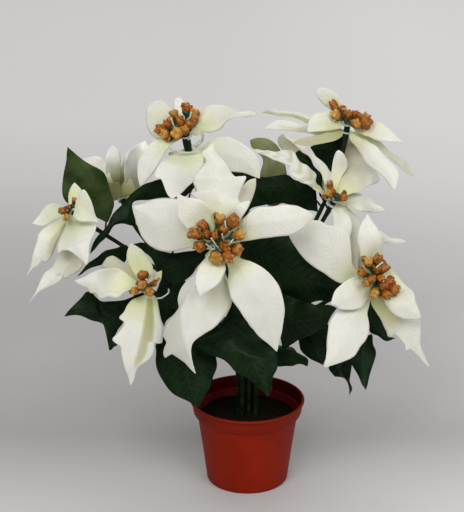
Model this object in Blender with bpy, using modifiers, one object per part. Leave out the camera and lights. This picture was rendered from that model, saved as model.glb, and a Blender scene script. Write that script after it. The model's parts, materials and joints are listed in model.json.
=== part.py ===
"""Potted poinsettia, artificial: fabric bracts and leaves on wired stems in a nursery pot.

Frame: metres, +Z up, origin at the middle of the pot's underside, front of the plant towards -Y.
"""
import bpy
import bmesh
import numpy as np
from math import radians, sin, cos, pi, atan2
from mathutils import Vector, Matrix

# ------------------------------------------------------------------ driving dimensions (metres)
POT_HEIGHT = 0.085
LIP_RADIUS = 0.0557          # over the rolled lip
COLLAR_TOP_RADIUS = 0.0534
COLLAR_LOW_RADIUS = 0.0507
COLLAR_Z = 0.0706            # underside of the collar's straight part
STEP_Z = 0.0680              # where the collar has stepped in to the body
BODY_TOP_RADIUS = 0.0486
BODY_LOW_RADIUS = 0.0401
FOOT_RADIUS = 0.0386
POT_WALL = 0.0013
POT_FLOOR = 0.0020
POT_STEPS = 32
DRAIN_HOLE_RADIUS = 0.0040
DRAIN_RING_RADIUS = 0.0260
DRAIN_HOLES = 4
FIT_GAP = 0.0003             # between pieces that touch
SOIL_TOP = 0.0672            # filler surface at the wall
SOIL_CROWN = 0.0030          # its rise in the middle
STEM_RADIUS = 0.0020
STEM_DEPTH = 0.0300          # how deep a stem is set in the filler
BUNDLE_INNER = 0.0034        # radii of the two rings of stems
BUNDLE_OUTER = 0.0090
BUNDLE_TOP = 0.1050          # the stems part company above this
RING_HOLE = 0.0025           # hole of a bract layer, around its stem
RING_RADIUS = 0.0052         # where its bracts start
LAYER_SHIFT = 0.0038         # upper and lower layer, either side of the hub point
BRACT_THICK = 0.0009
LEAF_THICK = 0.0009
NECK_HALF = 0.0011           # half-width of a bract's neck
STALK_HALF = 0.0012          # half-width of a leaf's stalk
BRACT_ROWS = 6
LEAF_ROWS = 7

# ------------------------------------------------------------------ the reference view
VIEW_PITCH = radians(20.1)
VIEW_FOCAL = 1638.0
VIEW_MID = (232.0, 256.0)
VIEW_FROM = np.array([-0.0151, -1.4553, 0.7646])
RIGHT = np.array([1.0, 0.0, 0.0])
FORWARD = np.array([0.0, cos(VIEW_PITCH), -sin(VIEW_PITCH)])
UPWARD = np.array([0.0, sin(VIEW_PITCH), cos(VIEW_PITCH)])


def at(u, v, y):
    """The point that the reference view shows at (u, v), at depth y."""
    d = FORWARD + RIGHT * ((u - VIEW_MID[0]) / VIEW_FOCAL) - UPWARD * ((v - VIEW_MID[1]) / VIEW_FOCAL)
    return VIEW_FROM + d * ((y - VIEW_FROM[1]) / d[1])


def unit(v):
    v = np.asarray(v, float)
    return v / max(1e-12, float(np.linalg.norm(v)))


def track(points, samples):
    """Smooth curve through 2-D or 3-D points, read at fractions of its length."""
    p = np.asarray(points, float)
    if len(p) == 2:
        return p[0] + (p[1] - p[0]) * np.asarray(samples)[:, None]
    q = np.vstack([2 * p[0] - p[1], p, 2 * p[-1] - p[-2]])
    dense = []
    for i in range(1, len(q) - 2):
        p0, p1, p2, p3 = q[i - 1], q[i], q[i + 1], q[i + 2]
        t0 = 0.0
        t1 = t0 + max(1e-9, np.linalg.norm(p1 - p0)) ** 0.5
        t2 = t1 + max(1e-9, np.linalg.norm(p2 - p1)) ** 0.5
        t3 = t2 + max(1e-9, np.linalg.norm(p3 - p2)) ** 0.5
        for t in np.linspace(t1, t2, 9)[:-1]:
            a1 = (t1 - t) / (t1 - t0) * p0 + (t - t0) / (t1 - t0) * p1
            a2 = (t2 - t) / (t2 - t1) * p1 + (t - t1) / (t2 - t1) * p2
            a3 = (t3 - t) / (t3 - t2) * p2 + (t - t2) / (t3 - t2) * p3
            b1 = (t2 - t) / (t2 - t0) * a1 + (t - t0) / (t2 - t0) * a2
            b2 = (t3 - t) / (t3 - t1) * a2 + (t - t1) / (t3 - t1) * a3
            dense.append((t2 - t) / (t2 - t1) * b1 + (t - t1) / (t2 - t1) * b2)
    dense.append(p[-1])
    dense = np.array(dense)
    run = np.concatenate([[0.0], np.cumsum(np.linalg.norm(np.diff(dense, axis=0), axis=1))])
    run /= run[-1]
    return np.stack([np.interp(samples, run, dense[:, k]) for k in range(dense.shape[1])], axis=1)


# ------------------------------------------------------------------ flower heads
# hub in the view (u, v, y), the way the head faces, and where it differs the drop to the lower ring
HEADS = {
    "front":        dict(hub=(217, 242, -0.085), face=(-0.05, -0.87, 0.49)),
    "upper_left":   dict(hub=(186, 138, 0.010), face=(-0.12, -0.45, 0.88), low=0.0165),
    "upper_right":  dict(hub=(347, 128, 0.020), face=(0.12, -0.10, 0.98)),
    "mid_right":    dict(hub=(334, 201, -0.010), face=(0.30, -0.50, 0.81)),
    "lower_right":  dict(hub=(372, 280, -0.060), face=(0.45, -0.72, 0.52)),
    "mid_left":     dict(hub=(71, 213, -0.010), face=(-0.60, -0.50, 0.62)),
    "lower_left":   dict(hub=(146, 288, -0.060), face=(-0.35, -0.75, 0.56)),
    "back_left":    dict(hub=(122, 197, 0.090), face=(-0.30, 0.75, 0.59)),
    "back":         dict(hub=(243, 238, 0.115), face=(0.05, 0.85, 0.52)),
    "back_right":   dict(hub=(356, 262, 0.085), face=(0.78, 0.46, 0.42)),
}

# bracts seen in the view: left and right margins from hub to tip, depth of the tip,
# bow towards the viewer at half length, depth slope of either half
BRACTS = [
 # ---- front
 dict(n="front", w="lower", L=[(206,246),(194,246.5),(180,250),(170,251.4),(159,250),(150,246),(143,238),(138,227),(133.6,213),(132.6,206)],
      R=[(207,238),(198,226),(190,212),(177,200),(170,199),(154,200),(143.6,203.6),(132.6,206)], ty=-0.060, bow=0.006, kl=0.25, kr=0.25),
 dict(n="front", w="upper", L=[(211,242),(199,236),(190,231),(183,225),(178,217),(177,205),(177,192)],
      R=[(215,238),(214,224),(210,210),(202,201),(190,198),(186,197),(181,195),(177,192)], ty=-0.090, bow=0.003, kl=0.0, kr=0.0),
 dict(n="front", w="lower", L=[(214,236),(211,220),(205,208),(198,200),(190,193),(196,192),(193,180),(198,172),(206,161),(202,153),(207,149),(212,143)],
      R=[(222,236),(232,224),(239,212),(242,205),(239,198.6),(243,185),(246,176.5),(235,177),(230,171),(224,162),(218,155),(212,143)], ty=-0.045, bow=0.004, kl=0.3, kr=0.3, shade=0.05, pale=-4.0),
 dict(n="front", w="upper", L=[(219,236),(222,222),(231,210),(243,202),(250,201)],
      R=[(223,238),(232,230),(240,219),(248,208),(250,201)], ty=-0.090, bow=0.006, kl=0.2, kr=0.2),
 dict(n="front", w="lower", L=[(223,237),(231,214),(240,190),(248,181),(256,178)],
      R=[(226,240),(243,216),(252,200),(255,190),(256,178)], ty=-0.034, bow=0.0, kl=0.2, kr=0.2, shade=0.38),
 dict(n="front", w="lower", L=[(224,238),(237,229),(243,220),(249,213),(257,208),(267,207),(276,206),(284,205),(299,207),(310,212),(314,216)],
      R=[(224,245),(244,241),(263,238.6),(277,236.4),(289,235.7),(301,229),(311,220),(314,216)], ty=-0.085, bow=0.010, kl=0.2, kr=0.2),
 dict(n="front", w="lower", L=[(224,246),(240,258),(250,261),(260,266),(270,274),(279,286),(283,299),(284.7,311),(283,324),(280,339),(277,352)],
      R=[(219,250),(226,260),(228.6,271),(227,281),(229,290),(232,300),(240,311),(249,324),(260,337),(274,349),(277,352)], ty=-0.095, bow=0.016, kl=0.15, kr=0.15, pale=-9.0),
 dict(n="front", w="upper", L=[(220,246),(225,256),(225,263),(226,269),(223,276),(219,283),(210,290),(200,296)],
      R=[(213,246),(208,253),(206,258),(201,263),(196,273),(195,280),(198,291),(200,296)], ty=-0.118, bow=0.008, kl=0.15, kr=0.15),
 dict(n="front", w="lower", L=[(217,250),(224,262),(226,278),(230,289),(231.5,297),(231.5,303),(228,312),(216,326),(204.6,333.5),(193,343),(191,349),(191,355),(193,365),(196,374.4)],
      R=[(210,248),(203,262),(195,275),(187,280),(181,289),(178.5,299),(179,308),(174,315),(169,321),(165.5,330),(164,337),(166.5,342),(163.5,349),(163,354),(165,358.5),(168,355.5),(172,353.5),(177,356.5),(182,361),(189,367.5),(196,374.4)],
      M=[(213,250),(205,268),(192,288),(182,308),(183,330),(188,350),(196,374.4)], ty=-0.100, bow=0.014, kl=0.25, kr=0.8, fold=(0.04,1.1,0.22,0.35,1.0), fold2=(-1.3,-0.42,0.42,0.0,0.52)),
 # ---- upper left
 dict(n="upper_left", w="upper", L=[(183,138),(170,140),(158,139.5),(150,133),(146.5,124),(146,115),(148,107),(157.5,100.5)],
      R=[(185,133),(178,122),(172,112),(166,103.5),(161,101),(157.5,100.5)], ty=0.045, bow=0.0, kl=0.1, kr=0.1, shade=0.20),
 dict(n="upper_left", w="upper", L=[(184,134),(176,118),(173.5,108),(175.5,100),(180,97)],
      R=[(188,134),(188,117),(186.5,106),(180,97)], ty=0.060, bow=0.0, kl=0.2, kr=0.2),
 dict(n="upper_left", w="upper", L=[(189,136),(196,122),(200,112),(208,106),(220,105),(230,107.5),(240,112),(250,111),(258,114)],
      R=[(190,139),(196,136),(202,132.3),(212,132.5),(222,128),(228,121),(237,117),(247,117.5),(258,114)], ty=0.030, bow=0.002, kl=0.0, kr=0.1),
 dict(n="upper_left", w="upper", L=[(184,141),(175,142),(167.5,150),(163,157),(158,165),(152,175),(146,181),(139.5,185.5)],
      R=[(181,139),(170,139),(160,139),(152,142.5),(143,152),(138,162),(137.5,173),(139.5,185.5)], ty=-0.015, bow=0.006, kl=0.1, kr=0.1),
 dict(n="upper_left", w="lower", L=[(192,152),(202,154),(203.5,160),(201,168),(198,174),(194,181),(187,187.5),(181.5,193),(172,199)],
      R=[(184,152),(172,154),(164,160),(157,168),(154,176),(161,180),(165,189),(168,195),(172,199)], ty=-0.050, bow=0.004, kl=0.1, kr=0.1),
 dict(n="upper_left", w="lower", L=[(190,149),(202,148),(208,142),(217,138),(228,137),(238,141),(250,149),(257,157),(260,168),(260,178.5)],
      R=[(189,153),(200,160),(210,165),(220,168.5),(230,171),(243,172.8),(252,176),(260,178.5)], ty=0.000, bow=0.006, kl=0.1, kr=0.1),
 # ---- upper right
 dict(n="upper_right", w="upper", L=[(343,122),(334,113),(324,105),(317.5,97.5),(316.3,91.5),(319.5,87.3)],
      R=[(347,121),(344,110),(341,101),(336.5,94.4),(328,89.3),(319.5,87.3)], y0=0.036, ty=0.040, bow=0.0, kl=0.0, kr=0.0),
 dict(n="upper_right", w="upper", L=[(345,129),(338,129),(330,130.6),(318,131.5),(307.5,132)],
      R=[(343,125),(335,121),(330,113),(322.5,113),(315,114),(309,120),(307.5,132)], ty=0.000, bow=0.003, kl=-0.2, kr=0.3),
 dict(n="upper_right", w="upper", L=[(351,125),(362,122),(372.5,122),(381,123),(387.5,127.5),(395,135),(402.5,142)],
      R=[(351,130),(360,134),(369,137),(377,140.5),(388,141.5),(402.5,142)], ty=0.000, bow=0.003, kl=0.5, kr=-0.4),
 dict(n="upper_right", w="lower", L=[(342,130),(325,129),(308,124),(300,119.5),(291,117),(277,116),(269,113.5),(260,113)],
      R=[(343,127),(325,120),(308,116),(300,113),(291,111.5),(277,110.5),(269,109),(260,113)], ty=0.060, bow=0.0, kl=-0.4, kr=0.4, shade=0.12, fold=(-1.3,0.10,0.80,0.0,1.05)),
 dict(n="upper_right", w="lower", L=[(343,133),(325,137),(308,133),(291,131),(275,129.5),(264,129)],
      R=[(342,129),(325,128),(306,125.5),(287,120.6),(275,121),(264,129)], ty=0.020, bow=0.0, kl=-0.4, kr=0.4, fold=(-1.2,-0.10,0.55,0.0,0.85)),
 dict(n="upper_right", w="lower", L=[(345,135),(334,141),(319,144),(305,145.8),(291,143)],
      R=[(343,132),(332,131),(319,135),(305,137),(291,143)], ty=-0.030, bow=0.0, kl=-0.5, kr=0.5, shade=0.82),
 dict(n="upper_right", w="lower", L=[(350,132),(360,138),(370,142.5),(377.5,147.5),(382.5,154),(389,160),(394,165),(398,171),(399,177.5),(395,190)],
      R=[(346,135),(351,141),(356,147.5),(362,156),(366,164),(374,170),(380,174),(386,180),(390,186),(395,190)], ty=-0.035, bow=0.010, kl=0.3, kr=0.3),
 dict(n="upper_right", w="lower", L=[(351,130),(366,134),(381,142),(391,152),(401,157.5),(406,161),(409,168),(415,177)],
      R=[(351,133),(366,140),(378,148),(389,158),(399,166),(405,172),(415,177)], ty=0.030, bow=0.006, kl=0.4, kr=-0.2, shade=0.35),
 # ---- mid right
 dict(n="mid_right", w="upper", L=[(331,197),(331,181),(331.5,170),(333,161),(336,152),(338.5,150)],
      R=[(335,197),(342,176),(347,169),(347.5,162),(343,153),(338.5,150)], ty=0.005, bow=0.0, kl=0.2, kr=0.2),
 dict(n="mid_right", w="lower", L=[(333,198),(340,180),(346,168),(344.5,158),(345,149),(350,142)],
      R=[(336,198),(356,192),(368,186),(379,181),(374,168),(367,154),(358,147),(350,142)], ty=0.050, bow=0.0, kl=0.2, kr=0.2, shade=0.42),
 dict(n="mid_right", w="upper", L=[(336,197),(338,183),(344,174),(350,167),(358,163),(366,161),(372,169),(377,175),(380,180)],
      R=[(338,200),(346,196),(352,193.5),(360,191),(366,187),(373,183.5),(380,180)], ty=0.004, bow=0.006, kl=0.4, kr=-0.2, fold=(-1.2,-0.25,0.22,0.0,0.9)),
 dict(n="mid_right", w="lower", L=[(338,199),(345,196),(350,194),(357,193.5),(364,195),(370,199),(376,204.5),(381,206.5),(385,211)],
      R=[(337,204),(345,205),(350,206.5),(354,208.5),(362,211.5),(370,212.3),(378,211.5),(385,211)], ty=-0.025, bow=0.004, kl=0.3, kr=0.3, pale=9.0),
 dict(n="mid_right", w="lower", L=[(337,204),(344,210),(349,216),(352,224),(351,234),(346,244),(341,252)],
      R=[(332,204),(331.5,210),(332.5,220),(333.5,230),(335,242),(341,252)], ty=-0.045, bow=0.006, kl=0.1, kr=0.1, pale=22.0),
 dict(n="mid_right", w="lower", L=[(339,203),(350,211),(357,216),(361,226),(360,245),(358,262),(356,276)],
      R=[(335,205),(342,220),(347,236),(350,254),(353,268),(356,276)], ty=-0.018, bow=0.0, kl=0.2, kr=0.2, shade=0.42),
 dict(n="mid_right", w="lower", L=[(330,204),(320,194),(310,185.5),(300,182),(294,177.5),(287.5,172),(290,168),(280,162),(274,160),(266,156),(258,153),(251,149)],
      R=[(330,199),(318,184),(314,172),(307,165.5),(302,163),(297,157),(292,151),(286,150),(280,151.5),(272,151),(262,150),(251,149)], ty=0.010, bow=0.016, kl=-0.3, kr=0.4, ruffle=0.0011),
 dict(n="mid_right", w="lower", L=[(328,200),(318,180),(306,166),(296,158),(286,152),(279,146),(278,138),(282,134)],
      R=[(331,197),(324,182),(314,166),(304,154),(294,143),(282,134)], y0=0.016, ty=0.050, bow=0.0, kl=0.1, kr=0.1, shade=0.60),
 dict(n="mid_right", w="upper", L=[(329,200),(324,188),(324,180),(321,172),(316,163),(310,156),(303,150),(298,147.5),(292,142.5),(286,138),(282,134)],
      R=[(332,197),(328.5,184),(327.8,172),(324,164),(317,157),(311,150.5),(306,146),(299,142),(290,138),(282,134)], ty=0.030, bow=0.006, kl=-1.2, kr=1.2),
 # ---- lower right
 dict(n="lower_right", w="lower", L=[(366,284),(352,281),(341,283),(332,279),(324,273),(314,267),(305,260),(297,249),(290,238),(286,229)],
      R=[(367,276),(353,266),(351,250),(349,235),(343,229),(333,226),(327,225),(320,221),(310,220.5),(298,224),(286,229)], ty=-0.050, bow=0.008, kl=0.08, kr=0.10),
 dict(n="lower_right", w="upper", L=[(369,276),(362,264),(359,250),(357.5,237),(361,224),(367.5,214)],
      R=[(376,275),(381,258),(382,245),(381,236),(377,227),(371,219),(367.5,214)], ty=-0.055, bow=0.006, kl=0.2, kr=0.2),
 dict(n="lower_right", w="lower", L=[(373,272),(376,252),(379,231),(385,234.5),(390,237.5),(400,239),(407,242)],
      R=[(377,273),(382,256),(384,244),(392,243),(400,243),(407,242)], ty=-0.020, bow=0.0, kl=0.4, kr=0.4),
 dict(n="lower_right", w="upper", L=[(377,275),(387,267),(396,274),(405,285),(413,292),(415.6,301),(419,310),(421,317.5)],
      R=[(375,284),(380,293),(384,300),(386,305),(390,311),(396,316),(402,319),(410,319.5),(421,317.5)], ty=-0.085, bow=0.010, kl=0.2, kr=0.2),
 dict(n="lower_right", w="lower", L=[(377,284),(392,296),(405,305),(415,312),(420,321),(420.6,335),(421,347),(425,357),(430,368)],
      R=[(372,288),(371,303),(376,312),(382,321),(387,331),(389,337.5),(390,334),(394,334),(400,339),(405,345),(406,351),(410,349),(416,354),(422,360),(430,368)], ty=-0.060, bow=0.010, kl=0.05, kr=0.05, pale=-9.0, fold=(-0.10,1.2,0.16,0.0,0.55)),
 dict(n="lower_right", w="upper", L=[(370,287),(369,296),(366,302),(362,307),(357,309),(349,310),(340,309),(337,306),(331,304)],
      R=[(366,280),(357.5,276.5),(349,279),(341,285),(335,291),(332,299),(331,304)], ty=-0.090, bow=0.006, kl=0.1, kr=0.1, pale=6.0),
 dict(n="lower_right", w="lower", L=[(372,289),(370,303),(367,314),(369,325),(369,332),(366,340),(360,347),(354,356),(345,361),(334,365),(324,367.5)],
      R=[(366,287),(352,300),(341,308),(335,314),(330,322),(328,331),(327,347),(326,357),(324,367.5)], ty=-0.100, bow=0.010, kl=0.2, kr=0.2),
 # ---- mid left
 dict(n="mid_left", w="upper", L=[(69,209),(68.5,202),(68.5,194),(71,187),(74.5,182.5)],
      R=[(72,209),(76,202),(81,196),(82,191),(79,187),(74.5,182.5)], ty=0.004, bow=0.0, kl=0.1, kr=0.1),
 dict(n="mid_left", w="lower", L=[(69,208.5),(71,206),(75.8,201),(81,192),(83.5,189.2),(90,199),(93,207),(95,214),(98.6,222)],
      R=[(69.5,212),(74,217.5),(79,221.3),(90,221.5),(98.6,222)], y0=-0.028, ty=-0.040, bow=0.0, kl=0.0, kr=-0.3),
 dict(n="mid_left", w="lower", L=[(68,216),(64,216.5),(56,219),(50,223),(43,225.5),(32,223.6)],
      R=[(68,210),(64,206),(59,204),(54,203),(47,206),(40,214),(32,223.6)], ty=-0.020, bow=0.006, kl=0.3, kr=0.3),
 dict(n="mid_left", w="lower", L=[(70,218),(64,228),(58,240),(54,252),(50,259),(44.5,262),(42,259),(39,264),(34.5,267),(26.4,276)],
      R=[(67,216),(56,222),(46,227),(39,233),(36,244),(33,255),(30.5,266),(26.4,276)], ty=-0.030, bow=0.010, kl=0.3, kr=0.3, fold=(-1.2,-0.30,0.42,0.0,0.60)),
 dict(n="mid_left", w="upper", L=[(74,216),(84,220),(96,225),(95,232),(91,240),(89,248),(88.6,257),(87,265)],
      R=[(69,218),(65,231),(60,238),(57,247),(58,254),(60,251),(67,250),(74,254),(80,259),(87,265)], ty=-0.055, bow=0.010, kl=0.2, kr=0.2),
 dict(n="mid_left", w="lower", L=[(73,219),(79,240),(84,262),(79,271),(71,276),(65,279),(64,275),(62,279),(56,284),(47,288),(38,292),(28.6,304)],
      R=[(70,220),(62,245),(52,267),(48,270),(44,273),(41,279),(38,287),(28.6,304)], ty=-0.040, bow=0.008, kl=0.3, kr=0.3, fold=(-1.2,1.2,0.32,0.20,0.66)),
 # ---- lower left
 dict(n="lower_left", w="upper", L=[(142,284),(134,274),(129,265),(127,257),(128,249),(131,243)],
      R=[(150,284),(151.5,276),(153,268),(149,259),(142,250),(131,243)], ty=-0.050, bow=0.0, kl=0.1, kr=0.1, pale=-8.0),
 dict(n="lower_left", w="upper", L=[(141,291),(132,290),(123,293),(118,298),(109,297),(100,299),(97,293.7),(90,293),(88,289),(80,285),(74.4,280.6)],
      R=[(141,285),(132,278),(126,273),(117,268),(109,268),(103,269),(93,272),(84,277),(74.4,280.6)], ty=-0.070, bow=0.008, kl=0.2, kr=0.2, fold=(-0.72,-0.50,0.20,0.05,0.80)),
 dict(n="lower_left", w="lower", L=[(141,288),(128,281),(118,273),(108,268.5),(101,267),(104,262),(107,257.5)],
      R=[(143,284),(134,272),(126,264),(119,259),(113,256),(107,257.5)], ty=-0.030, bow=0.0, kl=0.2, kr=0.2, shade=0.50),
 dict(n="lower_left", w="lower", L=[(149,285),(152.5,280),(154,274),(162,270.5)],
      R=[(151,289),(156,287),(161,280),(162,270.5)], ty=-0.050, bow=0.0, kl=0.1, kr=0.1),
 dict(n="lower_left", w="lower", L=[(150,291),(157,300),(159,312),(162,324),(162.4,336),(162,343),(158,343),(155,342),(154,350),(150,358),(140,366),(136,372),(134,379),(130.5,386)],
      R=[(143,292),(141,297),(134,298.5),(128,304),(124,312),(119,318),(124,321),(122,328),(117,334),(112.4,339),(114,342),(120,346),(121,352),(124,364),(128,377),(130.5,386)],
      M=[(146.5,292),(147,308),(143.5,328),(140,346),(135,362),(130.5,386)], ty=-0.085, bow=0.012, kl=0.25, kr=0.15, fold=(-0.52,0.02,1.0,0.04,0.84)),
 # ---- back left
 dict(n="back_left", w="lower", L=[(119,199),(104,190),(90,178),(82,168),(83,159)],
      R=[(121,195),(113,182),(109,170),(105,161),(97,156.5),(83,159)], ty=0.080, bow=0.0, kl=0.1, kr=0.1, olive=1.0),
 dict(n="back_left", w="upper", L=[(119,196),(110,185),(106,172),(106,160),(108,151),(112.4,145)],
      R=[(122,195),(122,185),(121,172),(121,160),(118,150),(112.4,145)], ty=0.110, bow=0.0, kl=0.1, kr=0.1, olive=1.0),
 dict(n="back_left", w="upper", L=[(122,195),(121,180),(121,168),(124,158),(128,150)],
      R=[(125,195),(131,183),(133,170),(131,159),(128,150)], ty=0.100, bow=0.0, kl=0.1, kr=0.1, olive=1.0),
 dict(n="back_left", w="lower", L=[(124,195),(125,184),(124,172),(126,158),(134,147),(145,140.5)],
      R=[(128,198),(138,188),(146,176),(150,160),(149,148),(145,140.5)], ty=0.130, bow=0.0, kl=0.1, kr=0.1, olive=0.8),
 dict(n="back_left", w="lower", L=[(123,199),(120,191),(124,182),(127.5,174.5)],
      R=[(128,199),(135,191),(133,182),(127.5,174.5)], y0=0.078, ty=0.076, bow=0.0, kl=0.1, kr=0.1, shade=0.85),
]

# bracts out of the view: turn round the head (0 to its right, 90 to its upper or far side),
# lift out of the ring's plane, length, width, outline
def fan(n, w, rows):
    return [dict(n=n, w=w, turn=t, lift=e, len=l, wid=d, kind=k) for t, e, l, d, k in rows]

FAR = (fan("upper_left", "lower", [(62, -50, .076, .038, "plain"), (112, -50, .074, .038, "plain")])
     + fan("upper_right", "lower", [(20, -40, .078, .040, "lobed"), (52, -44, .074, .038, "plain")])
     + fan("mid_right", "lower", [(5, -45, .062, .034, "plain")])
     + fan("back_left", "lower", [(35, -10, .072, .040, "plain")])
     + fan("back_left", "upper", [(130, 30, .045, .026, "plain")])
     + fan("back", "lower", [(270, -14, .088, .048, "lobed"), (325, -8, .072, .040, "plain"), (212, -8, .078, .044, "plain"), (28, -4, .064, .038, "plain"), (150, -4, .066, .040, "plain")])
     + fan("back", "upper", [(300, 24, .044, .027, "plain"), (240, 24, .044, .027, "plain"), (0, 26, .042, .027, "plain"), (180, 26, .042, .027, "plain"), (90, 28, .042, .026, "plain")])
     + fan("back_right", "lower", [(270, -14, .080, .044, "lobed"), (322, -8, .072, .042, "plain"), (220, -8, .066, .038, "plain"), (30, -6, .062, .038, "plain"), (150, -6, .058, .034, "plain")])
     + fan("back_right", "upper", [(300, 24, .042, .027, "plain"), (0, 26, .042, .026, "plain"), (240, 24, .040, .026, "plain"), (180, 26, .038, .024, "plain"), (90, 28, .038, .024, "plain")]))

# leaves: margins from stalk to tip; 'stem' is the head whose stem carries it
LEAVES = [
 dict(k="upright", stem="mid_left", L=[(104,221),(98,218),(90,214),(82,208),(74,206),(68,204),(63.3,195.4),(62,186),(64.2,172),(66,161),(67.5,147)],
      R=[(108,222),(112,213),(114,203),(110.4,191.5),(107.5,180),(102.7,171.3),(85.4,161.7),(67.5,147)],
      M=[(106,222),(103,208),(97,193),(88,177),(78,163),(67.5,147)], y0=0.022, ty=0.016, bow=0.0, kl=0.2, kr=0.2, warm=0.55),
]

LEAVES += [
 # long leaf behind the lower left head, reaching down-left
 dict(k="long_left", stem="lower_left", L=[(192,177),(172,177),(160,179),(152,182),(144,184),(134,192),(124,202),(112,216),(103,232),(93,242),(90,254)],
      R=[(196,186),(184,197),(170,198),(150,199),(134,203),(134,215),(134,225),(122,224),(113,226),(104,240),(90,254)], y0=0.020, ty=-0.020, bow=0.0, kl=0.4, kr=0.4),
 dict(k="left_under", stem="mid_left", L=[(128,247),(124,262),(112,262),(102,264),(92,268),(84,272),(77,277)],
      R=[(126,245),(118,247),(108,250),(99,255),(90,262),(83,269),(77,277)], y0=0.000, ty=-0.030, bow=0.0, kl=0.4, kr=-0.4),
 dict(k="lower_left", stem="lower_left", L=[(150,296),(138,300),(130,304),(125,311),(119,318),(123,322),(118,330),(115,338),(117,345),(114,346),(110,350),(110,343),(109,334),(102,324),(92,320),(80,315),(64,316.5)],
      R=[(148,290),(138,294),(124,300),(110,301),(101,301),(96,296),(91,292),(86,292),(82,297),(77,302),(71,308),(64,316.5)], y0=-0.035, ty=-0.050, bow=0.0, kl=0.2, kr=0.2),
 dict(k="front_left", stem="front", L=[(214,256),(202,262),(196,270),(193,274),(184,280),(178,286),(168,282),(160,276),(153,263),(144,252),(133,244)],
      R=[(212,250),(200,249),(190,251),(178,253),(165,252),(152,248),(145,243),(133,244)], y0=-0.050, ty=-0.040, bow=0.0, kl=0.4, kr=0.4),
 dict(k="left_inner", stem="lower_left", L=[(185,270),(184,288),(180,304),(173,314),(167,321),(164,327)],
      R=[(166,266),(160,280),(156,296),(158,308),(161,318),(164,327)], y0=-0.002, ty=-0.010, bow=0.0, kl=0.4, kr=0.4),
 dict(k="lower_big", stem="lower_left", L=[(214,308),(218,324),(217,344),(216.5,360),(216,370),(213,378),(207,393),(202,402),(198,407)],
      R=[(196,310),(185,320),(170,332),(155,344),(156,352),(158,372),(166,386),(184,400),(190,403),(198,407)], y0=-0.032, ty=-0.072, bow=0.010, kl=0.35, kr=0.35),
 dict(k="centre_front", stem="front", L=[(237,300),(246,320),(260,336),(272,348),(278,356),(277,366),(274,376),(272,388),(268,396.7)],
      R=[(230,302),(226,318),(215,332),(204,340),(196,346),(204,352),(214,356),(230,365),(237,372),(246,378),(261,389),(268,396.7)], y0=-0.045, ty=-0.095, bow=0.012, kl=0.35, kr=0.35),
 dict(k="small_right", stem="lower_right", L=[(262,340),(276,345),(284,349),(297,352),(308,360),(307.6,366.5)],
      R=[(260,348),(268,362),(279,366),(292,366),(300,364),(307.6,366.5)], y0=-0.016, ty=-0.060, bow=0.0, kl=0.4, kr=0.4),
 dict(k="right_down", stem="lower_right", L=[(300,300),(316,306),(327,322),(327,340),(326,355),(323,365)],
      R=[(292,306),(296,325),(299,340),(300,350),(310,358),(323,365)], y0=0.014, ty=-0.006, bow=0.0, kl=0.4, kr=0.4),
 dict(k="right_mass", stem="back_right", L=[(246,240),(262,235),(283,232),(294,240),(306,252),(320,264),(333,274),(343,284)],
      R=[(239,251),(254,272),(270,292),(288,299),(302,304),(316,302),(327,301),(334,296),(338,290),(343,284)], y0=-0.006, ty=-0.034, bow=0.005, kl=0.3, kr=0.3),
 dict(k="right_mass_low", stem="lower_right", L=[(272,292),(290,296),(310,304),(322,305),(330,305),(337,308)],
      R=[(274,312),(280,332),(283,350),(292,344),(300,338),(312,335),(325,326),(331,316),(337,308)], y0=-0.024, ty=-0.052, bow=0.004, kl=0.3, kr=0.3),
 dict(k="right_tip", stem="lower_right", L=[(372,334),(374,344),(376,351),(374,361),(372,369),(368,380),(366,390.5)],
      R=[(358,338),(352,350),(350,360),(354,369),(359,377),(363,385),(366,390.5)], y0=-0.030, ty=-0.060, bow=0.0, kl=0.3, kr=0.3),
 dict(k="right_tip_low", stem="lower_right", L=[(358,350),(352,362),(351,375),(350.4,388),(349.6,396)],
      R=[(346,352),(336,360),(328,368),(332,374),(336,377),(343,377),(347,381),(349,388),(349.6,396)], y0=-0.004, ty=-0.030, bow=0.0, kl=0.4, kr=0.4),
 dict(k="right_under", stem="lower_right", L=[(370,300),(376,312),(382,322),(386,331),(388,337),(396,338)],
      R=[(362,304),(366,318),(370,333),(379,336),(387,340),(396,338)], y0=-0.030, ty=-0.045, bow=0.0, kl=0.4, kr=0.4),
 dict(k="upper_middle", stem="upper_right", L=[(318,212),(306,209),(290,204),(275,203),(262,206),(250,209),(244,216),(236,224)],
      R=[(316,190),(306,184),(296,180),(288,175),(275,176),(262,177),(252,175),(241,171.5),(231,170.5),(238,178),(247,188),(249,200),(244,212),(236,224)], y0=0.036, ty=0.020, bow=0.004, kl=0.3, kr=0.3),
 dict(k="upper_right_leaf", stem="upper_right", L=[(334,186),(331,171),(322,162),(316,156),(310,147)],
      R=[(338,184),(337,165),(341,150),(342,137),(326,141),(310,147)], y0=0.032, ty=0.046, bow=0.0, kl=0.3, kr=0.3),
 dict(k="curved_strip", stem="mid_right", L=[(320,197),(318,189),(313,176),(307,165),(300,164),(295,158),(296,152)],
      R=[(323,195),(323,186),(321,175),(311,161),(304,153),(300,150),(296,152)], y0=0.010, ty=0.010, bow=0.0, kl=-1.0, kr=1.0),
 dict(k="olive", stem="upper_left", L=[(268,206),(263,192),(260,180),(262,168),(262,158),(256,151),(251,146),(250,140)],
      R=[(290,202),(290,188),(287,176),(284,162),(279,148),(268,139),(258,137.5),(250,140)], y0=0.046, ty=0.070, bow=0.0, kl=0.3, kr=0.3, warm=0.3, dust=0.75),
]
LEAVES += [
 dict(k="back_low_left", stem="back", az=130, el=-20, len=.105, wid=.055, kind="leaf", root=0.50),
 dict(k="back_low_right", stem="back_right", az=86, el=-40, len=.095, wid=.055, kind="leaf", root=0.45),
]

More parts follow.
